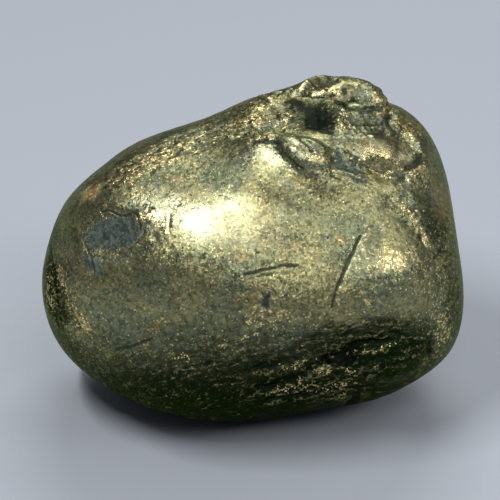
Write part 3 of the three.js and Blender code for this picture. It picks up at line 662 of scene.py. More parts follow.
# %% Mark the zones
# zone: rows of x, y, half length, half width, slope, strength, seen from the front
FRONT_ZONES = {
    "broken": [
        (1.2, 8.8, 1.8, 1.4, 15, 0.8), (2.3, 8.7, 1.1, 1.2, 0, 1), (5.9, 8.4, 0.9, 1.1, 0, 1),
        (7.8, 8.6, 2, 1.3, 0, 0.8), (11.4, 8, 1.6, 1.4, -45, 1), (8.8, 10.3, 1.8, 1, -50, 1),
        (5.4, 10.6, 0.8, 0.3, 0, 0.7), (5.9, 9.6, 1, 0.5, 0, 0.9), (5, 5.9, 0.8, 1, 30, 0.6),
        (7.2, 5.7, 0.9, 0.6, -30, 0.9), (12, 5.1, 0.8, 0.7, 0, 1), (10.6, 4.3, 1, 0.7, -40, 0.9),
        (11.3, 2.9, 0.8, 0.8, 0, 0.7), (0.9, 7.5, 1.3, 0.6, 0, 0.9), (1.3, 10.5, 1.6, 0.6, 20, 0.9),
        (4.4, 9.1, 1.2, 1.3, 0, 0.8), (-13.8, -1.8, 1.2, 2.4, 20, 0.5), (-7.3, 2.1, 0.9, 0.6, 20, 0.8),
        (12.8, -1.6, 1.9, 5, 8, 0.55), (9.5, -3.6, 2.4, 1.2, 0, 0.5), (-7.5, 5.9, 5.5, 0.9, 28, 0.4),
    ],
    "layered": [
        (4.5, -9.4, 4.5, 2, 10, 1), (0.5, -8.2, 5, 1.8, 12, 0.7), (10, -8.2, 3.5, 2.2, 10, 0.7),
        (7.5, -6.2, 3.6, 1.4, 14, 1), (-13.4, -3, 1.2, 3.5, 20, 0.7), (-8, 6, 5, 1.2, 28, 0.6),
        (13.6, 0.5, 1, 5, 10, 0.5), (-1, 8.5, 3.5, 1.4, 20, 0.7), (-6, -11, 5, 1.5, -8, 0.4),
    ],
    "slate": [
        (-9.55, 0.9, 2.1, 1.35, 8, 1), (-10.8, -0.9, 0.8, 1.5, 22, 0.7),
        (-9, -0.9, 1.2, 0.6, 15, 0.45), (5.9, 5.9, 0.52, 1.05, 30, 0.7),
        (7, 4.95, 1.3, 0.42, -26, 0.7), (8.8, -2.8, 1.3, 0.7, 0, 0.35),
        (6.3, -1.3, 0.3, 1.8, 20, 0.35), (0.9, -3.8, 0.55, 1, -5, 0.7),
        (10.4, 3.7, 0.4, 1.1, -30, 0.4),
    ],
    "rust": [
        (-11.3, 3.8, 1, 0.5, 30, 1), (13.1, 3, 0.8, 1.7, 5, 0.55), (-12.8, -0.5, 0.4, 0.5, 0, 0.4),
        (2, -4.6, 0.4, 0.3, 0, 0.4), (10.6, 6.7, 0.35, 1, 0, 0.25),
    ],
    # mostly painted shade with a little tarnish: darker under the stone and at the edges that turn
    # away, in the shadow round the pit and in the band between the two highlights
    "tarnish_and_painted_shade": [
        (-0.5, -12.5, 20, 7.3, 4, 1), (9, -7.6, 5.5, 2.8, 8, 1), (6, -6.6, 5.5, 1.6, 10, 0.8),
        (2.4, 4.1, 3.2, 0.9, -26, 0.22), (0.7, 4.7, 1.5, 0.9, -15, 0.25),
        (4.5, 9.2, 2.7, 1.5, 0, 0.72), (7.4, 10, 1.5, 0.7, -20, 0.45), (8, 8.5, 1.6, 0.8, 0, 0.3),
        (-13.5, -8.5, 4, 3, -40, 0.7), (-14, -3.6, 1, 3.4, 15, 0.9), (-14.4, 0.8, 0.8, 2, 0, 0.5),
        (14.6, -4.5, 1.4, 3.5, 10, 0.6), (12.8, 1.6, 1, 2.2, 10, 0.6), (-4, -7.9, 3, 1, 20, 0.4),
    ],
    # dark mineral and cracks, with painted shadow in the pit and the recesses
    "dark": [
        (4.4, 8.9, 1.25, 0.8, -48, 1), (5.1, 8, 0.8, 0.4, -50, 0.9), (3.1, 9.6, 1.2, 0.5, -15, 0.85),
        (8.3, 9.6, 1.3, 0.2, 5, 0.8), (6.2, -7.8, 0.8, 0.4, 15, 1), (-2.9, -8, 0.3, 0.25, 0, 1),
        (7.6, 10.4, 0.5, 0.5, 0, 0.5), (11.3, 5.7, 0.9, 0.2, 50, 0.8), (0.6, 7.2, 1.4, 0.15, 2, 0.7),
        (7.2, -10.9, 0.4, 0.5, 0, 0.8), (0.9, -3.7, 0.45, 0.85, -5, 0.85),
    ],
    # where the painted glints crowd: specks there are bright and warm gold
    "glinting": [
        (-13.3, -2.4, 0.35, 1.8, 25, 1), (-12.1, -5.3, 0.3, 1.1, 38, 1),
        (-14.3, -3.2, 0.3, 1.6, 5, 0.7), (5, -8.35, 1.1, 0.22, 32, 0.75),
        (6.6, -8.4, 1, 0.22, -28, 0.75), (2.5, -9.6, 1.3, 0.16, 24, 0.75),
        (8.6, -7, 1.3, 0.14, 16, 0.38), (6.9, -7.4, 0.4, 0.16, 20, 0.7),
        (5.4, 10.9, 0.8, 0.45, -20, 1), (6.2, 8.7, 0.45, 0.9, 0, 0.9), (9.1, 10, 0.8, 0.8, -40, 1),
        (11.2, 8.5, 0.9, 1, -40, 1), (11.6, 4.9, 0.9, 0.8, 0, 0.9), (12.6, -2.2, 1.2, 3.2, 8, 0.34),
        (9.5, -0.8, 1.2, 0.9, 0, 0.9), (4.9, 6.1, 0.7, 0.6, -20, 0.7), (8.9, 6, 1.2, 0.9, -20, 1),
        (2.2, 8.6, 0.5, 0.6, 0, 0.9), (0.6, 7.6, 1.2, 0.6, 0, 0.9), (-7, 2.1, 0.9, 0.35, 20, 1),
        (-10.4, 2.1, 0.3, 0.25, 0, 0.8), (-8.7, -0.3, 0.7, 0.15, 20, 0.9),
        (-4.8, -7.4, 0.6, 0.15, 10, 0.9), (7.8, -3.9, 0.35, 0.12, -20, 1), (9, -0.8, 1.6, 1.1, 0, 0.5),
        (13.2, -1, 0.7, 0.8, 0, 0.6), (13.4, -5.6, 0.6, 1.4, 0, 0.5), (3, -8, 1.4, 0.2, 12, 0.8),
        (5.2, -9.8, 2.2, 0.2, 8, 0.7), (6, -10.7, 0.8, 0.3, 0, 0.7), (-1, -6.3, 1.4, 0.2, 12, 0.5),
        (-6.5, 6.4, 5, 0.7, 26, 0.6), (-0.2, 8.8, 1.8, 0.6, 20, 0.7), (1, -4.8, 2.2, 0.8, 0, 0.35),
        (11, 2, 0.3, 1.4, 38, 0.6), (0.2, 10.1, 1.6, 0.4, 18, 0.8),
    ],
    # smoother places, less rough; the finish also paints their colour paler, as a painted highlight
    "polish_and_painted_highlight": [
        (-3, 1.9, 5, 1.8, -10, 1), (8.9, 6.4, 1.9, 1.1, -25, 1), (3.9, 6.5, 1.4, 0.7, -22, 1),
        (1, 6.2, 1.7, 0.6, -10, 0.7), (9, -0.9, 1.5, 1, 0, 0.6), (4.5, 11.2, 1.9, 0.7, 5, 1),
        (6.9, 10.1, 1.2, 0.6, 0, 0.9), (10.3, 6.6, 0.5, 1.1, 10, 0.9), (3.2, 6.9, 0.8, 0.5, -20, 0.8),
        (12.6, 6.6, 0.8, 1.1, 0, 0.7), (5.4, -11.2, 1.8, 0.7, 8, 0.6), (9.6, -8.6, 2.2, 1, 10, 0.5),
    ],
}
BACK_ZONES = {
    "broken": [
        (7.4, 7.8, 3, 2.4, 0, 0.8), (2.2, 0.8, 1.6, 1.2, 30, 0.9), (-10.6, -3.6, 2.2, 1.6, 20, 0.6),
        (1, -6.6, 3, 1, 20, 0.6),
    ],
    "layered": [
        (5.5, 4.8, 5.5, 1.8, 20, 0.8), (-1, -6.8, 6, 2.2, 14, 0.9), (-8, -2.2, 4, 1.6, 10, 0.6),
        (9, -1.4, 3.4, 1.6, 14, 0.7),
    ],
    "slate": [
        (2.2, 0.8, 1, 0.8, 30, 0.9), (-6, 5, 2, 1.2, 20, 0.6), (-9.4, -5.4, 0.8, 1.2, 0, 0.6),
    ],
    "rust": [
        (-3.6, -5.4, 0.9, 0.5, 20, 0.8), (10.6, 3.4, 0.7, 1.1, 0, 0.7), (-10.4, 1.6, 0.6, 0.5, 0, 0.6),
    ],
    "tarnish_and_painted_shade": [
        (0, -11, 18, 5, 0, 1), (12.8, 0, 2, 5, 0, 0.5), (-7, 4.4, 2.6, 1.6, 25, 0.4),
    ],
    "glinting": [
        (7.4, 7.8, 2.4, 1.6, 0, 0.9), (3.6, 3.6, 3.6, 0.5, 20, 0.7), (8.6, -2.4, 2.6, 0.4, 16, 0.8),
        (0.6, -7, 3.2, 0.5, 14, 0.8), (-5.4, 4.6, 2.6, 0.4, -10, 0.7),
        (-10.2, -4.2, 1.6, 0.6, 60, 0.8), (2.2, 1.4, 1.2, 0.6, 30, 0.8), (-3, -1.8, 3, 0.4, 14, 0.5),
    ],
    "dark": [
        (2.2, 0.8, 0.8, 0.6, 30, 0.9), (3, -5.6, 2, 0.3, 20, 0.7),
    ],
    "polish_and_painted_highlight": [
        (-4, 1.2, 3, 1.6, 10, 0.7), (8.4, 2.4, 2.4, 1.6, 0, 0.7),
    ],
}
ZONE_WANDER, ZONE_DEPTH, FLAT_TOPPED = 0.3, 2.5, 1.8
loose = skin + ZONE_WANDER * (wander(skin, 1.1, 21) + 0.4 * wander(skin, 0.4, 23))
zones = {}
for zone in FRONT_ZONES:
    strongest = np.zeros(len(skin))
    for back, x, y, long, wide, slope, strength in sides(FRONT_ZONES[zone], BACK_ZONES[zone]):
        middle, deep = on_skin((x, y), back), ZONE_DEPTH + max(long, wide)
        amount = strength * bell(loose, middle, long, wide, deep, slope, FLAT_TOPPED)
        strongest = np.maximum(strongest, amount)
    zones[zone] = strongest
    print(f"{zone}: {100 * np.mean(strongest > 0.5):.1f}% of the points")
zones["worn edge"], zones["crack"] = worn_edges, cracks

# %% Make the skin a mesh that carries its zones
mesh = bpy.data.meshes.new("chalcopyrite")
mesh.from_pydata((standing * MM).tolist(), [], quads.tolist())
mesh.polygons.foreach_set("use_smooth", [True] * len(mesh.polygons))
for zone, amount in zones.items():
    mark = mesh.attributes.new(zone, "FLOAT", "POINT")
    mark.data.foreach_set("value", amount.astype(np.float32))
plain_stone = bpy.data.objects.new("plain_stone", mesh)
bpy.context.scene.collection.objects.link(plain_stone)
print("mesh:", len(mesh.vertices), "points; anything to mend:", mesh.validate())

# %% [markdown]
# ## Building node trees in words
# A tree drawn by mouse can't be read in a script, so short helpers place a node, type its numbers
# in and wire its sockets. A socket knows its own tree, so the sums read like ordinary sums, and
# both the relief and the finish are built with them.

# %% Write the node helpers
def put(tree, kind, settings=None, **inputs):
    """A node with its settings; an input is wired from a socket, or typed in."""
    node = tree.nodes.new(kind)
    for name, value in (settings or {}).items():
        setattr(node, name, value)
    for name, value in inputs.items():
        socket = node.inputs[int(name[1:]) if name[1:].isdigit() else name.replace("_", " ")]
        if isinstance(value, bpy.types.NodeSocket):
            tree.links.new(value, socket)
        else:
            socket.default_value = value
    return node


def joined(kind, operation, values, **named):
    """A node that joins some values, in the tree of the sockets among them."""
    inputs = {f"i{k}": value for k, value in enumerate(values)}
    tree = next(value.id_data for value in values if isinstance(value, bpy.types.NodeSocket))
    return put(tree, kind, {"operation": operation}, **inputs, **named)


def maths(operation, *values):
    """A Math node's answer; a value is a socket or a number."""
    return joined("ShaderNodeMath", operation, values).outputs[0]


def chain(operation):
    """A function that joins two or more values, one after another."""
    return lambda *values: functools.reduce(lambda a, b: maths(operation, a, b), values)


def arrows(operation, *values, **named):
    """A Vector Math node's answer."""
    node = joined("ShaderNodeVectorMath", operation, values, **named)
    return node.outputs[1 if operation == "DOT_PRODUCT" else 0]


def parts(arrow):
    """The three numbers of an arrow or a colour."""
    return put(arrow.id_data, "ShaderNodeSeparateXYZ", None, Vector=arrow).outputs


def ramp(value, low, high, start=0.0, end=1.0, kind="SMOOTHSTEP"):
    """A value between low and high carried over to start and end."""
    return put(value.id_data, "ShaderNodeMapRange", {"interpolation_type": kind}, Value=value,
               From_Min=low, From_Max=high, To_Min=start, To_Max=end).outputs[0]


def cloud(place, size, detail=2.0, roughness=0.55):
    """Noise of about 0 to 1 whose lumps are about size across."""
    return put(place.id_data, "ShaderNodeTexNoise", None, Vector=place, Scale=1 / size,
               Detail=detail, Roughness=roughness).outputs[0]


def crystals(place, size):
    """Cells about size across: how far from a cell's middle, and its own colour."""
    node = put(place.id_data, "ShaderNodeTexVoronoi", None, Vector=place, Scale=1 / size)
    return node.outputs["Distance"], node.outputs["Color"]


add, less, times, most = map(chain, ("ADD", "SUBTRACT", "MULTIPLY", "MAXIMUM"))
print("helpers for nodes, sums, ramps and noise are ready")

# %% [markdown]
# ## Fine relief by rule
# The ore is made of thin sheets that split in steps, of grains, and of pits where grains fell
# out. Such things repeat by the thousand, so Geometry Nodes raise them: a saw-toothed wave across
# the sheets, cells for the grains and cells for the pits, each held to its zone. The tree
# also notes how far each point stands out or lies in, because hands polish the crests and
# the finish paints shade into the hollows.

# %% Start the relief tree with named sizes
SHEETS_ACROSS = Vector((-0.22, 0.683, 0.690)).normalized()
RELIEF_SIZES = {
    "Sheet Spacing": 0.50, "Sheet Length": 1.8, "Sheet Step": 0.36, "Grain Size": 0.50,
    "Grain Height": 0.26, "Skin Height": 0.03, "Pit Size": 0.6, "Pit Depth": 0.07, "Seed": 5.0,
}
relief = bpy.data.node_groups.new("ore relief", "GeometryNodeTree")
relief.interface.new_socket("Geometry", in_out="INPUT", socket_type="NodeSocketGeometry")
for size_name in RELIEF_SIZES:
    relief.interface.new_socket(size_name, in_out="INPUT", socket_type="NodeSocketFloat")
relief.interface.new_socket("Finish", in_out="INPUT", socket_type="NodeSocketMaterial")
relief.interface.new_socket("Geometry", in_out="OUTPUT", socket_type="NodeSocketGeometry")
given = relief.nodes.new("NodeGroupInput").outputs
position = relief.nodes.new("GeometryNodeInputPosition").outputs[0]
place = arrows("ADD", arrows("SCALE", position, Scale=1 / MM), given["Seed"])
print("relief tree takes a finish and", list(RELIEF_SIZES))


def zone_of(name):
    kind = {"data_type": "FLOAT"}
    return put(relief, "GeometryNodeInputNamedAttribute", kind, Name=name).outputs[0]


# %% Raise the split sheets
DRIFT_SIZE, DRIFT = 2.6, 3.0
SHEET_BREAK = 0.86
across = arrows("DOT_PRODUCT", place, tuple(SHEETS_ACROSS))
turns = add(maths("DIVIDE", across, given["Sheet Spacing"]), times(cloud(place, DRIFT_SIZE), DRIFT))
saw = maths("FRACT", turns)
tooth = times(less(saw, 0.5), ramp(saw, 1.0, SHEET_BREAK))
patchy = ramp(cloud(arrows("DIVIDE", place, given["Sheet Length"]), 0.5), 0.42, 0.62)
sheets = times(tooth, patchy, given["Sheet Step"], zone_of("layered"))
print("sheets:", len(relief.nodes), "nodes so far")

# %% Raise grains and a faint unevenness, and sink pits
GRAIN_RIM, PIT_RIM = 0.45, 0.28
cells, _ = crystals(arrows("DIVIDE", place, given["Grain Size"]), 1.0)
rubble = add(less(GRAIN_RIM, cells), less(cloud(place, 1.4, 4.0, 0.6), 0.5))
grains = times(rubble, given["Grain Height"], zone_of("broken"))
uneven = times(less(cloud(place, 0.9, 4.0, 0.6), 0.5), given["Skin Height"], 2.0)
hole, hole_colour = crystals(arrows("DIVIDE", place, given["Pit Size"]), 1.0)
a_quarter_of_them = ramp(parts(hole_colour)[0], 0.72, 0.76)
pits = times(ramp(hole, PIT_RIM, 0.0), a_quarter_of_them, given["Pit Depth"], -1.0)
height = add(add(sheets, grains), add(uneven, pits))
print("sheets, grains and pits:", len(relief.nodes), "nodes so far")

# %% Move the skin, note its crests and hollows, and close the tree
CALM_ABOVE_GROUND = 0.8 * MM
FINE_BLUR, WIDE_BLUR = 5, 60
x, y, z = parts(position)
height = times(height, ramp(z, 0.0, CALM_ABOVE_GROUND))
outward = relief.nodes.new("GeometryNodeInputNormal").outputs[0]
offset = arrows("SCALE", outward, Scale=times(height, MM))
on_ground = put(relief, "ShaderNodeCombineXYZ", None, X=x, Y=y, Z=most(z, 0.0)).outputs[0]
grown = given["Geometry"]
for moves in ({"Offset": offset}, {"Position": on_ground}):
    grown = put(relief, "GeometryNodeSetPosition", None, Geometry=grown, **moves).outputs[0]
for mark, steps in (("stands out", FINE_BLUR), ("stands high", WIDE_BLUR)):
    blurred = put(relief, "GeometryNodeBlurAttribute", {"data_type": "FLOAT_VECTOR"}, Value=position,
                  Iterations=steps).outputs
    even = next(socket for socket in blurred if socket.enabled)
    apart = arrows("DOT_PRODUCT", arrows("SUBTRACT", position, even), outward)
    kind = {"data_type": "FLOAT", "domain": "POINT"}
    grown = put(relief, "GeometryNodeStoreNamedAttribute", kind, Geometry=grown, Name=mark,
                Value=maths("DIVIDE", apart, MM)).outputs[0]
grown = put(relief, "GeometryNodeRealizeInstances", None, Geometry=grown).outputs[0]
finished = put(relief, "GeometryNodeSetMaterial", None, Geometry=grown, Material=given["Finish"])
relief.links.new(finished.outputs[0], relief.nodes.new("NodeGroupOutput").inputs[0])
print("relief tree:", len(relief.nodes), "nodes")

# %% [markdown]
# ## The finish: worn brassy ore
# Chalcopyrite is a metal-bright, greenish brass-yellow. Tumbling rubs it to a soft sheen, and
# under the sheen lie grains about a seventh of a millimetre wide. Most are rubbed flush, and a
# few are tilted, so they glint or go dark. The bright specks are painted glints, bright colour on
# a share of the grains, and the smoothest places get a paler colour as a painted highlight. Grey
# and rusty minerals fill a few places. Low down, in the hollows and in the crevices the colour is
# painted darker as shade, near-black olive with a little tarnish. All of it is made from the place
# on the stone and its zones, as coats laid one over another. In each coat a ramp's two numbers say
# where it starts and where it is full.

# %% Name the colours and read the zones
BRASS, GREEN_GREY, WARM_GOLD = (0.47, 0.445, 0.215), (0.24, 0.295, 0.19), (0.58, 0.43, 0.15)
SLATE, SLATE_SHADOW, RUST = (0.13, 0.165, 0.15), (0.030, 0.042, 0.040), (0.26, 0.13, 0.03)
# the near-black olive is painted shade low down and in hollows, with a little tarnish; the dark grey
# darkens grains and paints shade in crevices and recesses
OLIVE, DARK_TONE_AND_SHADE, STONE_GREY = (0.005, 0.015, 0.004), (0.022, 0.030, 0.022), (0.15, 0.175, 0.13)
# the pale sheen colour is a painted highlight, and the bright gold paints glints on specks, seams and
# worn edges
PAINTED_HIGHLIGHT, BRIGHT, RIM_TINT = (0.82, 0.76, 0.52), (0.98, 0.81, 0.38), (0.52, 0.58, 0.44)
GRAIN = 0.135
ore = bpy.data.materials.new("worn brassy ore")
ore.use_nodes = True
tree = ore.node_tree
shader = tree.nodes["Principled BSDF"]
here = arrows("SCALE", put(tree, "ShaderNodeTexCoord").outputs["Object"], Scale=1 / MM)
marks = {name: put(tree, "ShaderNodeAttribute", {"attribute_name": name}).outputs["Fac"]
           for name in (*zones, "stands out", "stands high")}
broken, slate, rust = marks["broken"], marks["slate"], marks["rust"]
tarnish_and_painted_shade, polish_and_painted_highlight = marks["tarnish_and_painted_shade"], marks["polish_and_painted_highlight"]
print("the finish reads", list(marks))


def coats(under, *layers):
    """A colour under layers, each an amount and the colour that it lays over the rest."""
    for amount, over in layers:
        under, over = ((*c, 1.0) if isinstance(c, tuple) else c for c in (under, over))
        kind = {"data_type": "RGBA", "clamp_factor": True}
        under = put(tree, "ShaderNodeMix", kind, i0=amount, i6=under, i7=over).outputs[2]
    return under


def elsewhere(*shift):
    """The same place in another part of the noise."""
    return arrows("ADD", here, shift)


# %% Follow the split sheets with streaks
STREAK_ACROSS, STREAK_ALONG, STREAK_SWIRL = 0.20, 1.8, 4.0
sheets_along = SHEETS_ACROSS.orthogonal().normalized()
axes = (SHEETS_ACROSS, sheets_along, SHEETS_ACROSS.cross(sheets_along))
lay = [maths("DIVIDE", arrows("DOT_PRODUCT", here, tuple(axis)), size)
       for axis, size in zip(axes, (STREAK_ACROSS, STREAK_ALONG, STREAK_ALONG))]
lay = put(tree, "ShaderNodeCombineXYZ", None, X=lay[0], Y=lay[1], Z=lay[2]).outputs[0]
swirl = put(tree, "ShaderNodeTexNoise", None, Vector=here, Scale=0.9).outputs[1]
streak = cloud(arrows("ADD", lay, arrows("SCALE", swirl, Scale=STREAK_SWIRL)), 1.0, 4.0, 0.7)
layered = most(marks["layered"], times(tarnish_and_painted_shade, 0.6))
print("streaks every", STREAK_ACROSS, "mm")

# %% Mix the colours of the ore
grain_shade = parts(crystals(here, GRAIN)[1])[1]
calmer = less(1.0, times(polish_and_painted_highlight, 0.6))
colour = coats(
    BRASS,
    (ramp(cloud(here, 3.5, 3.0), 0.38, 0.62, 0.0, 0.68), GREEN_GREY),
    (ramp(cloud(here, 1.8, 4.0, 0.65), 0.52, 0.72, 0.0, 0.6), WARM_GOLD),
    (times(ramp(grain_shade, 0.0, 1.0, 0.5, 0.0, "LINEAR"), calmer), DARK_TONE_AND_SHADE),
    (ramp(cloud(here, 0.4, 4.0, 0.7), 0.36, 0.56, 0.5, 0.0), DARK_TONE_AND_SHADE),
    # a paler colour on the smoother places: a painted highlight
    (times(polish_and_painted_highlight, 0.2), PAINTED_HIGHLIGHT),
    (ramp(cloud(elsewhere(31.0, 7.0, 3.0), 0.6, 3.0, 0.6), 0.64, 0.72, 0.0, 0.4), DARK_TONE_AND_SHADE),
    (times(broken, ramp(cloud(here, 0.7, 5.0, 0.75), 0.60, 0.44, 0.0, 0.9)), STONE_GREY),
    (times(layered, ramp(streak, 0.58, 0.40, 0.0, 0.9)), DARK_TONE_AND_SHADE),
)
print("colours mixed:", len(tree.nodes), "nodes so far")

# %% Find the painted shade and uneven tone, the crests, the cracks and the ragged places
blotch = times(less(cloud(here, 0.7, 5.0, 0.75), 0.5), 1.6)
ragged = ramp(add(slate, blotch), 0.38, 0.58)
dark = ramp(add(marks["dark"], blotch), 0.30, 0.85)
crack = ramp(marks["crack"], 0.5, 0.8)
stands = marks["stands out"]
# painted shade in the small crevices
sunken = ramp(stands, -0.015, -0.080)
# painted shade in the wide hollows
hollow = ramp(marks["stands high"], -0.01, -0.22)
unevenly = times(less(cloud(here, 0.45, 3.0, 0.6), 0.5), 0.9)
# how much olive: painted shade low down and in the hollows, with a little tarnish and some uneven tone
dirt_and_painted_shade = add(tarnish_and_painted_shade, times(unevenly, 0.5), times(hollow, 0.35))
dirt_and_painted_shade = less(dirt_and_painted_shade, times(ramp(streak, 0.54, 0.66), 0.4))
glitter = times(ramp(cloud(here, 0.25, 4.0, 0.75), 0.46, 0.60), ramp(cloud(here, 1.3), 0.36, 0.56))
# lighter worn edges and crests: partly wear, partly painted glints
edge = times(ramp(marks["worn edge"], 0.3, 0.8), glitter)
crest = times(ramp(stands, 0.006, 0.035), glitter)
# painted light: lit lines along the edges of the split sheets
painted_lit_seam = times(layered, ramp(streak, 0.60, 0.66), ramp(cloud(here, 0.5, 4.0, 0.75), 0.50, 0.62))
print("wear found:", len(tree.nodes), "nodes so far")

# %% Scatter the bright specks, painted glints
speck_cell = parts(crystals(elsewhere(11.0, 3.0, 6.0), 0.8 * GRAIN)[1])
glinting = times(marks["glinting"], ramp(cloud(here, 0.4, 3.0, 0.65), 0.40, 0.56))
crowded = ramp(cloud(here, 0.9, 3.0, 0.65), 0.42, 0.66, 0.985, 0.90)
clear_of_slate = less(1.0, times(ragged, 0.8))
faint = times(maths("GREATER_THAN", speck_cell[0], less(crowded, times(glinting, 0.42))),
              ramp(speck_cell[1], 0.0, 1.0, 0.2, 0.8, "LINEAR"), clear_of_slate,
              ramp(dirt_and_painted_shade, 0.2, 0.9, 1.0, 0.10))
strong = maths("GREATER_THAN", speck_cell[0], less(1.0, times(glinting, 0.5)))
painted_glint_specks = most(faint, times(strong, 0.95))
print("specks are", round(0.8 * GRAIN, 3), "mm wide")

# %% Lay the coats of painted shade and tarnish, slate, rust and painted glints
slate_shade = coats(SLATE_SHADOW, (ramp(cloud(here, 0.5, 5.0, 0.8), 0.42, 0.60), SLATE))
colour = coats(
    colour,
    # near-black olive: painted shade low down and in the hollows, with a little tarnish
    (ramp(dirt_and_painted_shade, 0.0, 1.0, 0.0, 0.985), OLIVE),
    # lit lines along the sheets: painted glints
    (times(painted_lit_seam, 0.7), BRIGHT),
    (times(ragged, 0.92), slate_shade),
    (times(rust, ramp(cloud(here, 0.8), 0.35, 0.6)), RUST),
    # dark grey in the small crevices: painted shade
    (times(sunken, 0.5), DARK_TONE_AND_SHADE),
    # lighter worn edges and crests: partly fresh metal from wear, partly painted glints
    (most(times(edge, 0.9), times(crest, 0.3)), BRIGHT),
    # warm gold in the glinting places: painted glints
    (times(glinting, ramp(dirt_and_painted_shade, 0.1, 0.6, 0.5, 0.0)), WARM_GOLD),
    # bright specks on grains: painted glints
    (painted_glint_specks, BRIGHT),
    # dark lines in the cracks, and the dark zone: dark mineral with painted shadow in the pit and the
    # recesses
    (most(times(crack, 0.92), times(dark, 0.9)), DARK_TONE_AND_SHADE),
)
tree.links.new(colour, shader.inputs["Base Color"])
print("colours laid:", len(tree.nodes), "nodes so far")

# %% Set how metallic and how rough each place is
facet_colour = crystals(elsewhere(5.0, 9.0, 2.0), 0.9 * GRAIN)[1]
facet = ramp(parts(facet_colour)[0], 0.84, 0.86)
covered = most(times(ragged, 0.75), times(rust, 0.85), times(crack, 0.5))
tree.links.new(less(0.98, covered), shader.inputs["Metallic"])
rough = ramp(cloud(here, 0.9, 4.0, 0.6), 0.3, 0.7, 0.35, 0.45, "LINEAR")
for where, change in ((polish_and_painted_highlight, -0.15), (dark, 0.25), (facet, -0.12),
                      (times(painted_glint_specks, glinting), -0.15), (tarnish_and_painted_shade, 0.06)):
    rough = add(rough, times(where, change))
tree.links.new(rough, shader.inputs["Roughness"])
shader.inputs["Specular Tint"].default_value = (*RIM_TINT, 1)
print("metal and roughness set:", len(tree.nodes), "nodes so far")


# %% Tilt the grains
def tilted(normal, cell_colour, strength, middle=(0.5, 0.5, 0.5)):
    """A surface direction turned a little, by another amount in each cell."""
    lean = arrows("SCALE", arrows("SUBTRACT", cell_colour, middle), Scale=strength)
    return arrows("NORMALIZE", arrows("ADD", normal, lean))


BUMP_STRENGTH, BUMP_HEIGHT = 0.7, 0.035 * MM
rubbed = most(less(1.0, most(polish_and_painted_highlight, slate)), 0.12)
bumps = add(less(cloud(here, 0.16, 4.0, 0.7), times(crack, 1.5)), times(layered, streak, 3.0),
            times(ragged, cloud(here, 0.5, 4.0, 0.6), 1.5))
facing = put(tree, "ShaderNodeBump", None, Strength=BUMP_STRENGTH, Distance=BUMP_HEIGHT,
             Height=bumps).outputs[0]
facing = tilted(facing, crystals(here, GRAIN)[1],
                times(add(0.12, times(broken, 0.3)), clear_of_slate))
facing = tilted(facing, crystals(here, 0.6 * GRAIN)[1], times(rubbed, 0.2))
facing = tilted(facing, facet_colour, times(facet, rubbed, add(0.3, times(broken, 0.7))),
                (0.93, 0.5, 0.5))
tree.links.new(facing, shader.inputs["Normal"])
print("finish:", len(tree.nodes), "nodes")

# %% Run the relief on the stone and keep the result as a plain mesh
grower = plain_stone.modifiers.new("ore relief", "NODES")
grower.node_group = relief
for item in relief.interface.items_tree:
    if item.in_out == "INPUT" and item.name in RELIEF_SIZES:
        grower[item.identifier] = RELIEF_SIZES[item.name]
    elif item.in_out == "INPUT" and item.name == "Finish":
        grower[item.identifier] = ore
bpy.context.view_layer.update()
ready = plain_stone.evaluated_get(bpy.context.evaluated_depsgraph_get())
stone = bpy.data.objects.new("chalcopyrite_nugget", bpy.data.meshes.new_from_object(ready))
plain_stone.modifiers.remove(grower)
bpy.data.objects.remove(plain_stone)
bpy.context.scene.collection.objects.link(stone)
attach(stone, "root")
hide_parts("chalcopyrite_stone")
print("stone:", len(stone.data.polygons), "faces")
for mark in ("stands out", "stands high"):
    spread = np.zeros(len(stone.data.vertices), np.float32)
    stone.data.attributes[mark].data.foreach_get("value", spread)
    print(mark, "by, mm:", np.percentile(spread, [1, 10, 50, 90, 99]).round(4))

# %% [markdown]
# ## The studio
# A pale floor and five soft lamps. The long narrow one stands in front, to the left and high up,
# and makes the highlight across the face. Three broad ones fill in from the middle and the right,
# and light the lobe and the shoulder. The last stands behind and throws the soft shadow towards
# us, as in the photograph.

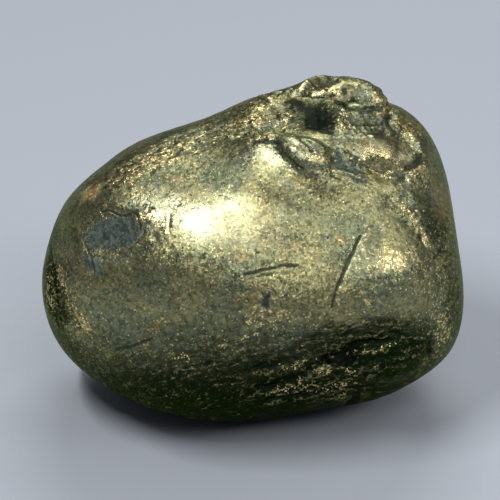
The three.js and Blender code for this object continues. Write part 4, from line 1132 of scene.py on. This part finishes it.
# %% Lay the floor
FLOOR_HALF, PAPER, PAPER_ROUGHNESS = 0.6, (0.42, 0.45, 0.50, 1), 0.85
floor_mesh = bpy.data.meshes.new("floor")
corners = [(x * FLOOR_HALF, y * FLOOR_HALF, 0) for x, y in ((-1, -1), (1, -1), (1, 1), (-1, 1))]
floor_mesh.from_pydata(corners, [], [(0, 1, 2, 3)])
floor = bpy.data.objects.new("floor", floor_mesh)
bpy.context.scene.collection.objects.link(floor)
pale = bpy.data.materials.new("pale paper")
pale.use_nodes = True
paper = pale.node_tree.nodes["Principled BSDF"]
paper.inputs["Base Color"].default_value = PAPER
paper.inputs["Roughness"].default_value = PAPER_ROUGHNESS
floor_mesh.materials.append(pale)
print("floor, m:", 2 * FLOOR_HALF, "square")

# %% Hang the lamps and set the surroundings
# name, azimuth, elevation, width, height, watts, metres away, roll
LAMPS = [
    ("front lamp", -40, 61, 0.125, 0.014, 0.33, 0.25, -48),
    ("middle lamp", 14, 47, 0.125, 0.10, 0.16, 0.30, 0),
    ("right lamp", 61, 34.5, 0.10, 0.08, 0.18, 0.32, 0),
    ("side lamp", 100, 45, 0.20, 0.16, 0.12, 0.32, 0),
    ("back lamp", 172, 55, 0.18, 0.12, 0.38, 0.30, 0),
]
ROOM_LIGHT, ROOM_STRENGTH = (0.24, 0.26, 0.30, 1), 0.35
for name, azimuth, elevation, wide, tall, watts, away, roll in LAMPS:
    lamp = bpy.data.objects.new(name, bpy.data.lights.new(name, "AREA"))
    lamp.data.shape, lamp.data.energy = "RECTANGLE", watts
    lamp.data.size, lamp.data.size_y = wide, tall
    a, e = math.radians(azimuth), math.radians(elevation)
    lamp.location = Vector((math.sin(a) * math.cos(e), -math.cos(a) * math.cos(e), math.sin(e))) * away
    facing_stone = (-lamp.location).to_track_quat("-Z", "Y")
    lamp.rotation_euler = (facing_stone @ Quaternion((0, 0, 1), math.radians(roll))).to_euler()
    bpy.context.scene.collection.objects.link(lamp)
world = bpy.data.worlds.new("studio")
world.use_nodes = True
background = world.node_tree.nodes["Background"]
background.inputs["Color"].default_value = ROOM_LIGHT
background.inputs["Strength"].default_value = ROOM_STRENGTH
bpy.context.scene.world = world
bpy.context.scene.view_settings.view_transform = "Standard"
print("lamps:", len(LAMPS))
